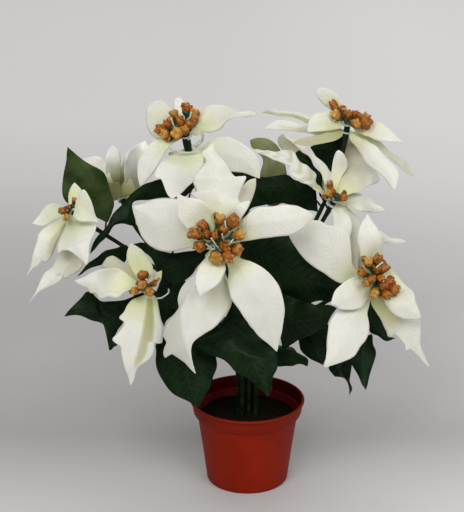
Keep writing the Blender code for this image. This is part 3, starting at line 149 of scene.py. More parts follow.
# bracts seen in the view: left and right margins from hub to tip, depth of the tip,
# bow towards the viewer at half length, depth slope of either half
BRACTS = [
 # ---- front
 dict(n="front", w="lower", L=[(206,246),(194,246.5),(180,250),(170,251.4),(159,250),(150,246),(143,238),(138,227),(133.6,213),(132.6,206)],
      R=[(207,238),(198,226),(190,212),(177,200),(170,199),(154,200),(143.6,203.6),(132.6,206)], ty=-0.060, bow=0.006, kl=0.25, kr=0.25),
 dict(n="front", w="upper", L=[(211,242),(199,236),(190,231),(183,225),(178,217),(177,205),(177,192)],
      R=[(215,238),(214,224),(210,210),(202,201),(190,198),(186,197),(181,195),(177,192)], ty=-0.090, bow=0.003, kl=0.0, kr=0.0),
 dict(n="front", w="lower", L=[(214,236),(211,220),(205,208),(198,200),(190,193),(196,192),(193,180),(198,172),(206,161),(202,153),(207,149),(212,143)],
      R=[(222,236),(232,224),(239,212),(242,205),(239,198.6),(243,185),(246,176.5),(235,177),(230,171),(224,162),(218,155),(212,143)], ty=-0.045, bow=0.004, kl=0.3, kr=0.3, shade=0.05, pale=-4.0),
 dict(n="front", w="upper", L=[(219,236),(222,222),(231,210),(243,202),(250,201)],
      R=[(223,238),(232,230),(240,219),(248,208),(250,201)], ty=-0.090, bow=0.006, kl=0.2, kr=0.2),
 dict(n="front", w="lower", L=[(223,237),(231,214),(240,190),(248,181),(256,178)],
      R=[(226,240),(243,216),(252,200),(255,190),(256,178)], ty=-0.034, bow=0.0, kl=0.2, kr=0.2, shade=0.38),
 dict(n="front", w="lower", L=[(224,238),(237,229),(243,220),(249,213),(257,208),(267,207),(276,206),(284,205),(299,207),(310,212),(314,216)],
      R=[(224,245),(244,241),(263,238.6),(277,236.4),(289,235.7),(301,229),(311,220),(314,216)], ty=-0.085, bow=0.010, kl=0.2, kr=0.2),
 dict(n="front", w="lower", L=[(224,246),(240,258),(250,261),(260,266),(270,274),(279,286),(283,299),(284.7,311),(283,324),(280,339),(277,352)],
      R=[(219,250),(226,260),(228.6,271),(227,281),(229,290),(232,300),(240,311),(249,324),(260,337),(274,349),(277,352)], ty=-0.095, bow=0.016, kl=0.15, kr=0.15, pale=-9.0),
 dict(n="front", w="upper", L=[(220,246),(225,256),(225,263),(226,269),(223,276),(219,283),(210,290),(200,296)],
      R=[(213,246),(208,253),(206,258),(201,263),(196,273),(195,280),(198,291),(200,296)], ty=-0.118, bow=0.008, kl=0.15, kr=0.15),
 dict(n="front", w="lower", L=[(217,250),(224,262),(226,278),(230,289),(231.5,297),(231.5,303),(228,312),(216,326),(204.6,333.5),(193,343),(191,349),(191,355),(193,365),(196,374.4)],
      R=[(210,248),(203,262),(195,275),(187,280),(181,289),(178.5,299),(179,308),(174,315),(169,321),(165.5,330),(164,337),(166.5,342),(163.5,349),(163,354),(165,358.5),(168,355.5),(172,353.5),(177,356.5),(182,361),(189,367.5),(196,374.4)],
      M=[(213,250),(205,268),(192,288),(182,308),(183,330),(188,350),(196,374.4)], ty=-0.100, bow=0.014, kl=0.25, kr=0.8, fold_shade=(0.04,1.1,0.22,0.35,1.0), fold_shade2=(-1.3,-0.42,0.42,0.0,0.52)),
 # ---- upper left
 dict(n="upper_left", w="upper", L=[(183,138),(170,140),(158,139.5),(150,133),(146.5,124),(146,115),(148,107),(157.5,100.5)],
      R=[(185,133),(178,122),(172,112),(166,103.5),(161,101),(157.5,100.5)], ty=0.045, bow=0.0, kl=0.1, kr=0.1, shade=0.20),
 dict(n="upper_left", w="upper", L=[(184,134),(176,118),(173.5,108),(175.5,100),(180,97)],
      R=[(188,134),(188,117),(186.5,106),(180,97)], ty=0.060, bow=0.0, kl=0.2, kr=0.2),
 dict(n="upper_left", w="upper", L=[(189,136),(196,122),(200,112),(208,106),(220,105),(230,107.5),(240,112),(250,111),(258,114)],
      R=[(190,139),(196,136),(202,132.3),(212,132.5),(222,128),(228,121),(237,117),(247,117.5),(258,114)], ty=0.030, bow=0.002, kl=0.0, kr=0.1),
 dict(n="upper_left", w="upper", L=[(184,141),(175,142),(167.5,150),(163,157),(158,165),(152,175),(146,181),(139.5,185.5)],
      R=[(181,139),(170,139),(160,139),(152,142.5),(143,152),(138,162),(137.5,173),(139.5,185.5)], ty=-0.015, bow=0.006, kl=0.1, kr=0.1),
 dict(n="upper_left", w="lower", L=[(192,152),(202,154),(203.5,160),(201,168),(198,174),(194,181),(187,187.5),(181.5,193),(172,199)],
      R=[(184,152),(172,154),(164,160),(157,168),(154,176),(161,180),(165,189),(168,195),(172,199)], ty=-0.050, bow=0.004, kl=0.1, kr=0.1),
 dict(n="upper_left", w="lower", L=[(190,149),(202,148),(208,142),(217,138),(228,137),(238,141),(250,149),(257,157),(260,168),(260,178.5)],
      R=[(189,153),(200,160),(210,165),(220,168.5),(230,171),(243,172.8),(252,176),(260,178.5)], ty=0.000, bow=0.006, kl=0.1, kr=0.1),
 # ---- upper right
 dict(n="upper_right", w="upper", L=[(343,122),(334,113),(324,105),(317.5,97.5),(316.3,91.5),(319.5,87.3)],
      R=[(347,121),(344,110),(341,101),(336.5,94.4),(328,89.3),(319.5,87.3)], y0=0.036, ty=0.040, bow=0.0, kl=0.0, kr=0.0),
 dict(n="upper_right", w="upper", L=[(345,129),(338,129),(330,130.6),(318,131.5),(307.5,132)],
      R=[(343,125),(335,121),(330,113),(322.5,113),(315,114),(309,120),(307.5,132)], ty=0.000, bow=0.003, kl=-0.2, kr=0.3),
 dict(n="upper_right", w="upper", L=[(351,125),(362,122),(372.5,122),(381,123),(387.5,127.5),(395,135),(402.5,142)],
      R=[(351,130),(360,134),(369,137),(377,140.5),(388,141.5),(402.5,142)], ty=0.000, bow=0.003, kl=0.5, kr=-0.4),
 dict(n="upper_right", w="lower", L=[(342,130),(325,129),(308,124),(300,119.5),(291,117),(277,116),(269,113.5),(260,113)],
      R=[(343,127),(325,120),(308,116),(300,113),(291,111.5),(277,110.5),(269,109),(260,113)], ty=0.060, bow=0.0, kl=-0.4, kr=0.4, shade=0.12, fold_shade=(-1.3,0.10,0.80,0.0,1.05)),
 dict(n="upper_right", w="lower", L=[(343,133),(325,137),(308,133),(291,131),(275,129.5),(264,129)],
      R=[(342,129),(325,128),(306,125.5),(287,120.6),(275,121),(264,129)], ty=0.020, bow=0.0, kl=-0.4, kr=0.4, fold_shade=(-1.2,-0.10,0.55,0.0,0.85)),
 dict(n="upper_right", w="lower", L=[(345,135),(334,141),(319,144),(305,145.8),(291,143)],
      R=[(343,132),(332,131),(319,135),(305,137),(291,143)], ty=-0.030, bow=0.0, kl=-0.5, kr=0.5, shade=0.82),
 dict(n="upper_right", w="lower", L=[(350,132),(360,138),(370,142.5),(377.5,147.5),(382.5,154),(389,160),(394,165),(398,171),(399,177.5),(395,190)],
      R=[(346,135),(351,141),(356,147.5),(362,156),(366,164),(374,170),(380,174),(386,180),(390,186),(395,190)], ty=-0.035, bow=0.010, kl=0.3, kr=0.3),
 dict(n="upper_right", w="lower", L=[(351,130),(366,134),(381,142),(391,152),(401,157.5),(406,161),(409,168),(415,177)],
      R=[(351,133),(366,140),(378,148),(389,158),(399,166),(405,172),(415,177)], ty=0.030, bow=0.006, kl=0.4, kr=-0.2, shade=0.35),
 # ---- mid right
 dict(n="mid_right", w="upper", L=[(331,197),(331,181),(331.5,170),(333,161),(336,152),(338.5,150)],
      R=[(335,197),(342,176),(347,169),(347.5,162),(343,153),(338.5,150)], ty=0.005, bow=0.0, kl=0.2, kr=0.2),
 dict(n="mid_right", w="lower", L=[(333,198),(340,180),(346,168),(344.5,158),(345,149),(350,142)],
      R=[(336,198),(356,192),(368,186),(379,181),(374,168),(367,154),(358,147),(350,142)], ty=0.050, bow=0.0, kl=0.2, kr=0.2, shade=0.42),
 dict(n="mid_right", w="upper", L=[(336,197),(338,183),(344,174),(350,167),(358,163),(366,161),(372,169),(377,175),(380,180)],
      R=[(338,200),(346,196),(352,193.5),(360,191),(366,187),(373,183.5),(380,180)], ty=0.004, bow=0.006, kl=0.4, kr=-0.2, fold_shade=(-1.2,-0.25,0.22,0.0,0.9)),
 dict(n="mid_right", w="lower", L=[(338,199),(345,196),(350,194),(357,193.5),(364,195),(370,199),(376,204.5),(381,206.5),(385,211)],
      R=[(337,204),(345,205),(350,206.5),(354,208.5),(362,211.5),(370,212.3),(378,211.5),(385,211)], ty=-0.025, bow=0.004, kl=0.3, kr=0.3, pale=9.0),
 dict(n="mid_right", w="lower", L=[(337,204),(344,210),(349,216),(352,224),(351,234),(346,244),(341,252)],
      R=[(332,204),(331.5,210),(332.5,220),(333.5,230),(335,242),(341,252)], ty=-0.045, bow=0.006, kl=0.1, kr=0.1, pale=22.0),
 dict(n="mid_right", w="lower", L=[(339,203),(350,211),(357,216),(361,226),(360,245),(358,262),(356,276)],
      R=[(335,205),(342,220),(347,236),(350,254),(353,268),(356,276)], ty=-0.018, bow=0.0, kl=0.2, kr=0.2, shade=0.24, pale=14.0),
 dict(n="mid_right", w="lower", L=[(330,204),(320,194),(310,185.5),(300,182),(294,177.5),(287.5,172),(290,168),(280,162),(274,160),(266,156),(258,153),(251,149)],
      R=[(330,199),(318,184),(314,172),(307,165.5),(302,163),(297,157),(292,151),(286,150),(280,151.5),(272,151),(262,150),(251,149)], ty=0.010, bow=0.016, kl=-0.3, kr=0.4, ruffle=0.0011),
 dict(n="mid_right", w="lower", L=[(328,200),(318,180),(306,166),(296,158),(286,152),(279,146),(278,138),(282,134)],
      R=[(331,197),(324,182),(314,166),(304,154),(294,143),(282,134)], y0=0.016, ty=0.050, bow=0.0, kl=0.1, kr=0.1, shade=0.60),
 dict(n="mid_right", w="upper", L=[(329,200),(324,188),(324,180),(321,172),(316,163),(310,156),(303,150),(298,147.5),(292,142.5),(286,138),(282,134)],
      R=[(332,197),(328.5,184),(327.8,172),(324,164),(317,157),(311,150.5),(306,146),(299,142),(290,138),(282,134)], ty=0.030, bow=0.006, kl=-1.2, kr=1.2),
 # ---- lower right
 dict(n="lower_right", w="lower", L=[(366,284),(352,281),(341,283),(332,279),(324,273),(314,267),(305,260),(297,249),(290,238),(286,229)],
      R=[(367,276),(353,266),(351,250),(349,235),(343,229),(333,226),(327,225),(320,221),(310,220.5),(298,224),(286,229)], ty=-0.050, bow=0.008, kl=0.08, kr=0.10),
 dict(n="lower_right", w="upper", L=[(369,276),(362,264),(359,250),(357.5,237),(361,224),(367.5,214)],
      R=[(376,275),(381,258),(382,245),(381,236),(377,227),(371,219),(367.5,214)], ty=-0.055, bow=0.006, kl=0.2, kr=0.2),
 dict(n="lower_right", w="lower", L=[(373,272),(376,252),(379,231),(385,234.5),(390,237.5),(400,239),(407,242)],
      R=[(377,273),(382,256),(384,244),(392,243),(400,243),(407,242)], ty=-0.020, bow=0.0, kl=0.4, kr=0.4),
 dict(n="lower_right", w="upper", L=[(377,275),(387,267),(396,274),(405,285),(413,292),(415.6,301),(419,310),(421,317.5)],
      R=[(375,284),(380,293),(384,300),(386,305),(390,311),(396,316),(402,319),(410,319.5),(421,317.5)], ty=-0.085, bow=0.010, kl=0.2, kr=0.2),
 dict(n="lower_right", w="lower", L=[(377,284),(392,296),(405,305),(415,312),(420,321),(420.6,335),(421,347),(425,357),(430,368)],
      R=[(372,288),(371,303),(376,312),(382,321),(387,331),(389,337.5),(390,334),(394,334),(400,339),(405,345),(406,351),(410,349),(416,354),(422,360),(430,368)], ty=-0.060, bow=0.010, kl=0.05, kr=0.05, pale=-9.0, fold_shade=(-0.20,1.3,0.46,0.0,0.50)),
 dict(n="lower_right", w="upper", L=[(370,287),(369,296),(366,302),(362,307),(357,309),(349,310),(340,309),(337,306),(331,304)],
      R=[(366,280),(357.5,276.5),(349,279),(341,285),(335,291),(332,299),(331,304)], ty=-0.090, bow=0.006, kl=0.1, kr=0.1, pale=6.0),
 dict(n="lower_right", w="lower", L=[(372,289),(370,303),(367,314),(369,325),(369,332),(366,340),(360,347),(354,356),(345,361),(334,365),(324,367.5)],
      R=[(366,287),(352,300),(341,308),(335,314),(330,322),(328,331),(327,347),(326,357),(324,367.5)], ty=-0.100, bow=0.010, kl=0.2, kr=0.2),
 # ---- mid left
 dict(n="mid_left", w="upper", L=[(69,209),(68.5,202),(68.5,194),(71,187),(74.5,182.5)],
      R=[(72,209),(76,202),(81,196),(82,191),(79,187),(74.5,182.5)], ty=0.004, bow=0.0, kl=0.1, kr=0.1),
 dict(n="mid_left", w="lower", L=[(69,208.5),(71,206),(75.8,201),(81,192),(83.5,189.2),(90,199),(93,207),(95,214),(98.6,222)],
      R=[(69.5,212),(74,217.5),(79,221.3),(90,221.5),(98.6,222)], y0=-0.028, ty=-0.040, bow=0.0, kl=0.0, kr=-0.3),
 dict(n="mid_left", w="lower", L=[(68,216),(64,216.5),(56,219),(50,223),(43,225.5),(32,223.6)],
      R=[(68,210),(64,206),(59,204),(54,203),(47,206),(40,214),(32,223.6)], ty=-0.020, bow=0.006, kl=0.3, kr=0.3),
 dict(n="mid_left", w="lower", L=[(70,218),(64,228),(58,240),(54,252),(50,259),(44.5,262),(42,259),(39,264),(34.5,267),(26.4,276)],
      R=[(67,216),(56,222),(46,227),(39,233),(36,244),(33,255),(30.5,266),(26.4,276)], ty=-0.030, bow=0.010, kl=0.3, kr=0.3, fold_shade=(-1.2,-0.30,0.42,0.0,0.60)),
 dict(n="mid_left", w="upper", L=[(74,216),(84,220),(96,225),(95,232),(91,240),(89,248),(88.6,257),(87,265)],
      R=[(69,218),(65,231),(60,238),(57,247),(58,254),(60,251),(67,250),(74,254),(80,259),(87,265)], ty=-0.055, bow=0.010, kl=0.2, kr=0.2),
 dict(n="mid_left", w="lower", L=[(73,219),(79,240),(84,262),(79,271),(71,276),(65,279),(64,275),(62,279),(56,284),(47,288),(38,292),(28.6,304)],
      R=[(70,220),(62,245),(52,267),(48,270),(44,273),(41,279),(38,287),(28.6,304)], ty=-0.040, bow=0.008, kl=0.3, kr=0.3, fold_shade=(-1.2,1.2,0.32,0.20,0.66)),
 # ---- lower left
 dict(n="lower_left", w="upper", L=[(142,284),(134,274),(129,265),(127,257),(128,249),(131,243)],
      R=[(150,284),(151.5,276),(153,268),(149,259),(142,250),(131,243)], ty=-0.050, bow=0.0, kl=0.1, kr=0.1, pale=-8.0),
 dict(n="lower_left", w="upper", L=[(141,291),(132,290),(123,293),(118,298),(109,297),(100,299),(97,293.7),(90,293),(88,289),(80,285),(74.4,280.6)],
      R=[(141,285),(132,278),(126,273),(117,268),(109,268),(103,269),(93,272),(84,277),(74.4,280.6)], ty=-0.070, bow=0.008, kl=0.2, kr=0.2, fold_shade=(-0.72,-0.50,0.20,0.05,0.80)),
 dict(n="lower_left", w="lower", L=[(141,288),(128,281),(118,273),(108,268.5),(101,267),(104,262),(107,257.5)],
      R=[(143,284),(134,272),(126,264),(119,259),(113,256),(107,257.5)], ty=-0.030, bow=0.0, kl=0.2, kr=0.2, shade=0.50),
 dict(n="lower_left", w="lower", L=[(149,285),(152.5,280),(154,274),(162,270.5)],
      R=[(151,289),(156,287),(161,280),(162,270.5)], ty=-0.050, bow=0.0, kl=0.1, kr=0.1),
 dict(n="lower_left", w="lower", L=[(150,291),(157,300),(159,312),(162,324),(162.4,336),(162,343),(158,343),(155,342),(154,350),(150,358),(140,366),(136,372),(134,379),(130.5,386)],
      R=[(143,292),(141,297),(134,298.5),(128,304),(124,312),(119,318),(124,321),(122,328),(117,334),(112.4,339),(114,342),(120,346),(121,352),(124,364),(128,377),(130.5,386)],
      M=[(146.5,292),(147,308),(143.5,328),(140,346),(135,362),(130.5,386)], ty=-0.085, bow=0.012, kl=0.25, kr=0.15, fold_shade=(-0.52,0.02,1.0,0.04,0.84)),
 # ---- back left
 dict(n="back_left", w="lower", L=[(119,199),(104,190),(90,178),(82,168),(83,159)],
      R=[(121,195),(113,182),(109,170),(105,161),(97,156.5),(83,159)], ty=0.080, bow=0.0, kl=0.1, kr=0.1, olive=1.0),
 dict(n="back_left", w="upper", L=[(119,196),(110,185),(106,172),(106,160),(108,151),(112.4,145)],
      R=[(122,195),(122,185),(121,172),(121,160),(118,150),(112.4,145)], ty=0.110, bow=0.0, kl=0.1, kr=0.1, olive=1.0),
 dict(n="back_left", w="upper", L=[(122,195),(121,180),(121,168),(124,158),(128,150)],
      R=[(125,195),(131,183),(133,170),(131,159),(128,150)], ty=0.100, bow=0.0, kl=0.1, kr=0.1, olive=1.0),
 dict(n="back_left", w="lower", L=[(124,195),(125,184),(124,172),(126,158),(134,147),(145,140.5)],
      R=[(128,198),(138,188),(146,176),(150,160),(149,148),(145,140.5)], ty=0.130, bow=0.0, kl=0.1, kr=0.1, olive=0.8),
 dict(n="back_left", w="lower", L=[(123,199),(120,191),(124,182),(127.5,174.5)],
      R=[(128,199),(135,191),(133,182),(127.5,174.5)], y0=0.078, ty=0.076, bow=0.0, kl=0.1, kr=0.1, shade=0.85),
]

# bracts out of the view: turn round the head (0 to its right, 90 to its upper or far side),
# lift out of the ring's plane, length, width, outline
def fan(n, w, rows):
    return [dict(n=n, w=w, turn=t, lift=e, len=l, wid=d, kind=k) for t, e, l, d, k in rows]

FAR = (fan("upper_left", "lower", [(62, -50, .076, .038, "plain"), (112, -50, .074, .038, "plain")])
     + fan("upper_right", "lower", [(20, -40, .078, .040, "lobed"), (52, -44, .074, .038, "plain")])
     + fan("mid_right", "lower", [(5, -45, .062, .034, "plain")])
     + fan("back_left", "lower", [(35, -10, .072, .040, "plain")])
     + fan("back_left", "upper", [(130, 30, .045, .026, "plain")])
     + fan("back", "lower", [(270, -14, .088, .048, "lobed"), (325, -8, .072, .040, "plain"), (212, -8, .078, .044, "plain"), (28, -4, .064, .038, "plain"), (150, -4, .066, .040, "plain")])
     + fan("back", "upper", [(300, 24, .044, .027, "plain"), (240, 24, .044, .027, "plain"), (0, 26, .042, .027, "plain"), (180, 26, .042, .027, "plain"), (90, 28, .042, .026, "plain")])
     + fan("back_right", "lower", [(270, -14, .080, .044, "lobed"), (322, -8, .072, .042, "plain"), (220, -8, .066, .038, "plain"), (30, -6, .062, .038, "plain"), (150, -6, .058, .034, "plain")])
     + fan("back_right", "upper", [(300, 24, .042, .027, "plain"), (0, 26, .042, .026, "plain"), (240, 24, .040, .026, "plain"), (180, 26, .038, .024, "plain"), (90, 28, .038, .024, "plain")]))

# leaves: margins from stalk to tip; 'stem' is the head whose stem carries it
LEAVES = [
 dict(k="upright", stem="mid_left", L=[(104,221),(98,218),(90,214),(82,208),(74,206),(68,204),(63.3,195.4),(62,186),(64.2,172),(66,161),(67.5,147)],
      R=[(108,222),(112,213),(114,203),(110.4,191.5),(107.5,180),(102.7,171.3),(85.4,161.7),(67.5,147)],
      M=[(106,222),(103,208),(97,193),(88,177),(78,163),(67.5,147)], y0=0.022, ty=0.016, bow=0.0, kl=0.2, kr=0.2, warm=0.55),
]

LEAVES += [
 # long leaf behind the lower left head, reaching down-left
 dict(k="long_left", stem="lower_left", L=[(192,177),(172,177),(160,179),(152,182),(144,184),(134,192),(124,202),(112,216),(103,232),(93,242),(90,254)],
      R=[(196,186),(184,197),(170,198),(150,199),(134,203),(134,215),(134,225),(122,224),(113,226),(104,240),(90,254)], y0=0.020, ty=-0.020, bow=0.0, kl=0.4, kr=0.4),
 dict(k="left_under", stem="mid_left", L=[(128,247),(124,262),(112,262),(102,264),(92,268),(84,272),(77,277)],
      R=[(126,245),(118,247),(108,250),(99,255),(90,262),(83,269),(77,277)], y0=0.000, ty=-0.030, bow=0.0, kl=0.4, kr=-0.4),
 dict(k="lower_left", stem="lower_left", L=[(150,296),(138,300),(130,304),(125,311),(119,318),(123,322),(118,330),(115,338),(117,345),(114,346),(110,350),(110,343),(109,334),(102,324),(92,320),(80,315),(64,316.5)],
      R=[(148,290),(138,294),(124,300),(110,301),(101,301),(96,296),(91,292),(86,292),(82,297),(77,302),(71,308),(64,316.5)], y0=-0.035, ty=-0.050, bow=0.0, kl=0.2, kr=0.2),
 dict(k="front_left", stem="front", L=[(214,256),(202,262),(196,270),(193,274),(184,280),(178,286),(168,282),(160,276),(153,263),(144,252),(133,244)],
      R=[(212,250),(200,249),(190,251),(178,253),(165,252),(152,248),(145,243),(133,244)], y0=-0.050, ty=-0.040, bow=0.0, kl=0.4, kr=0.4),
 dict(k="left_inner", stem="lower_left", L=[(185,270),(184,288),(180,304),(173,314),(167,321),(164,327)],
      R=[(166,266),(160,280),(156,296),(158,308),(161,318),(164,327)], y0=-0.002, ty=-0.010, bow=0.0, kl=0.4, kr=0.4),
 dict(k="lower_big", stem="lower_left", L=[(214,308),(218,324),(217,344),(216.5,360),(216,370),(213,378),(207,393),(202,402),(198,407)],
      R=[(196,310),(185,320),(170,332),(155,344),(156,352),(158,372),(166,386),(184,400),(190,403),(198,407)], y0=-0.032, ty=-0.072, bow=0.010, kl=0.35, kr=0.35),
 dict(k="centre_front", stem="front", L=[(237,300),(246,320),(260,336),(272,348),(278,356),(277,366),(274,376),(272,388),(268,396.7)],
      R=[(230,302),(226,318),(215,332),(204,340),(196,346),(204,352),(214,356),(230,365),(237,372),(246,378),(261,389),(268,396.7)], y0=-0.045, ty=-0.095, bow=0.012, kl=0.35, kr=0.35),
 dict(k="small_right", stem="lower_right", L=[(262,340),(276,345),(284,349),(297,352),(308,360),(307.6,366.5)],
      R=[(260,348),(268,362),(279,366),(292,366),(300,364),(307.6,366.5)], y0=-0.016, ty=-0.060, bow=0.0, kl=0.4, kr=0.4),
 dict(k="right_down", stem="lower_right", L=[(300,300),(316,306),(327,322),(327,340),(326,355),(323,365)],
      R=[(292,306),(296,325),(299,340),(300,350),(310,358),(323,365)], y0=0.014, ty=-0.006, bow=0.0, kl=0.4, kr=0.4),
 dict(k="right_mass", stem="back_right", L=[(246,240),(262,235),(283,232),(294,240),(306,252),(320,264),(333,274),(343,284)],
      R=[(239,251),(254,272),(270,292),(288,299),(302,304),(316,302),(327,301),(334,296),(338,290),(343,284)], y0=-0.006, ty=-0.034, bow=0.005, kl=0.3, kr=0.3),
 dict(k="right_mass_low", stem="lower_right", L=[(272,292),(290,296),(310,304),(322,305),(330,305),(337,308)],
      R=[(274,312),(280,332),(283,350),(292,344),(300,338),(312,335),(325,326),(331,316),(337,308)], y0=-0.024, ty=-0.052, bow=0.004, kl=0.3, kr=0.3),
 dict(k="right_tip", stem="lower_right", L=[(372,334),(374,344),(376,351),(374,361),(372,369),(368,380),(366,390.5)],
      R=[(358,338),(352,350),(350,360),(354,369),(359,377),(363,385),(366,390.5)], y0=-0.030, ty=-0.060, bow=0.0, kl=0.3, kr=0.3),
 dict(k="right_tip_low", stem="lower_right", L=[(358,350),(352,362),(351,375),(350.4,388),(349.6,396)],
      R=[(346,352),(336,360),(328,368),(332,374),(336,377),(343,377),(347,381),(349,388),(349.6,396)], y0=-0.004, ty=-0.030, bow=0.0, kl=0.4, kr=0.4),
 dict(k="right_under", stem="lower_right", L=[(370,300),(376,312),(382,322),(386,331),(388,337),(396,338)],
      R=[(362,304),(366,318),(370,333),(379,336),(387,340),(396,338)], y0=-0.030, ty=-0.045, bow=0.0, kl=0.4, kr=0.4),
 dict(k="upper_middle", stem="upper_right", L=[(318,212),(306,209),(290,204),(275,203),(262,206),(250,209),(244,216),(236,224)],
      R=[(316,190),(306,184),(296,180),(288,175),(275,176),(262,177),(252,175),(241,171.5),(231,170.5),(238,178),(247,188),(249,200),(244,212),(236,224)], y0=0.036, ty=0.020, bow=0.004, kl=0.3, kr=0.3),
 dict(k="upper_right_leaf", stem="upper_right", L=[(334,186),(331,171),(322,162),(316,156),(310,147)],
      R=[(338,184),(337,165),(341,150),(342,137),(326,141),(310,147)], y0=0.032, ty=0.046, bow=0.0, kl=0.3, kr=0.3),
 dict(k="curved_strip", stem="mid_right", L=[(320,197),(318,189),(313,176),(307,165),(300,164),(295,158),(296,152)],
      R=[(323,195),(323,186),(321,175),(311,161),(304,153),(300,150),(296,152)], y0=0.010, ty=0.010, bow=0.0, kl=-1.0, kr=1.0),
 dict(k="olive", stem="upper_left", L=[(268,206),(263,192),(260,180),(262,168),(262,158),(256,151),(251,146),(250,140)],
      R=[(290,202),(290,188),(287,176),(284,162),(279,148),(268,139),(258,137.5),(250,140)], y0=0.046, ty=0.070, bow=0.0, kl=0.3, kr=0.3, warm=0.3, dust=0.75),
]
LEAVES += [
 dict(k="back_low_left", stem="back", az=130, el=-20, len=.105, wid=.055, kind="leaf", root=0.50),
 dict(k="back_low_right", stem="back_right", az=86, el=-40, len=.095, wid=.055, kind="leaf", root=0.45),
]

# ------------------------------------------------------------------ outlines without a seen margin
KINDS = {
    "plain": [(0, .10), (.06, .12), (.15, .42), (.30, .86), (.45, 1.0), (.62, .86), (.80, .48), (.92, .17), (1, .0)],
    "lobed": [(0, .10), (.06, .12), (.15, .40), (.30, .80), (.42, .98), (.50, 1.15), (.54, .80), (.68, .66), (.82, .40), (.93, .14), (1, .0)],
    "leaf": [(0, .05), (.10, .06), (.18, .34), (.30, .74), (.44, 1.0), (.60, .90), (.78, .52), (.92, .18), (1, .0)],
}
PX = 0.000977                # metres to one unit of the view at the pot


def at_all(uv, y):
    """Back-projects an array of (u, v) places at depths y."""
    d = FORWARD + RIGHT * ((uv[..., 0] - VIEW_MID[0]) / VIEW_FOCAL)[..., None] - UPWARD * ((uv[..., 1] - VIEW_MID[1]) / VIEW_FOCAL)[..., None]
    return VIEW_FROM + d * ((y - VIEW_FROM[1]) / d[..., 1])[..., None]


def normalise(v):
    return v / np.maximum(1e-12, np.linalg.norm(v, axis=-1, keepdims=True))


def head_frame(name):
    h = HEADS[name]
    return at(*h["hub"]), unit(h["face"])


def ring_drop(name):
    return HEADS[name].get("low", LAYER_SHIFT)


def layer_centre(name, layer):
    c, f = head_frame(name)
    return c + f * (LAYER_SHIFT if layer == "upper" else -ring_drop(name))


def tuck_all(p, head, layer):
    """Slides points back along their lines of sight until they lie under the bud cluster."""
    c, f = head_frame(head)
    sight = normalise(p - VIEW_FROM)
    toward = -(sight @ f)
    rel = p - c
    h = rel @ f
    r = np.linalg.norm(rel - h[..., None] * f, axis=-1)
    cap = (0.0040 + 0.38 * r) if layer == "upper" else (0.0002 - ring_drop(head) + 0.34 * r)
    keep = smooth(0.036 - r, 0.0, 0.020)
    over = np.maximum(h - cap, 0)
    safe = np.where(np.abs(toward) < 0.25, 1.0, toward)
    slide = np.where(np.abs(toward) < 0.25, 0.0, over / safe * keep)
    return p + sight * slide[..., None]


def smooth(x, a, b):
    t = np.clip((x - a) / (b - a), 0, 1)
    return t * t * (3 - 2 * t)


def seen_grid(b, y0, s, t):
    """Blade between two seen margins: rows s from base to tip, columns t from -1 to 1."""
    left, right = track(b["L"], s), track(b["R"], s)
    rib = track(b["M"], s) if "M" in b else (left + right) / 2
    y0 = b.get("y0", y0)
    depth = y0 + (b["ty"] - y0) * s - b["bow"] * np.sin(pi * s)
    uv = np.zeros((len(s), len(t), 2))
    y = np.zeros((len(s), len(t)))
    for j, tt in enumerate(t):
        side, slope = (left, b["kl"]) if tt < 0 else (right, b["kr"])
        uv[:, j] = rib + (side - rib) * abs(tt)
        half = np.linalg.norm(side - rib, axis=1) * PX
        y[:, j] = depth + slope * half * abs(tt) ** 1.3
    p = at_all(uv, y)
    if "n" in b and "y0" not in b:
        p = tuck_all(p, b["n"], b["w"])
    return p


def direction(b):
    if "turn" in b:
        _, f = head_frame(b["n"])
        ex = unit(np.cross([0.0, 0.0, 1.0], f))
        ey = np.cross(f, ex)
        t, e = radians(b["turn"]), radians(b["lift"])
        return (ex * cos(t) + ey * sin(t)) * cos(e) + f * sin(e), f
    az, el = radians(b["az"]), radians(b["el"])
    return np.array([cos(az) * cos(el), sin(az) * cos(el), sin(el)]), np.array([0.0, 0.0, 1.0])


def free_grid(b, c, s, t):
    """Blade given by its direction, length and width, its upper face turned to the head's face."""
    d, f = direction(b)
    side = unit(np.cross(d, f))
    nrm = unit(np.cross(side, d))
    ks = KINDS[b["kind"]]
    prof = track(ks, np.linspace(0, 1, 200))
    half = np.interp(s, prof[:, 0], prof[:, 1]) * b["wid"] / 2
    half = np.maximum(half, 0)
    rib = c + d * b["len"] * s[:, None] + nrm * (0.10 * b["len"] * np.sin(pi * s))[:, None]
    return (rib[:, None] + side * (half[:, None] * t)[..., None]
            - nrm * (0.18 * half[:, None] * np.abs(t) ** 1.5)[..., None])


# ------------------------------------------------------------------ meshes
def put_attributes(mesh, values):
    for name, v in values.items():
        a = mesh.attributes.new(name, "FLOAT", "POINT")
        a.data.foreach_set("value", np.asarray(v, np.float32).ravel())


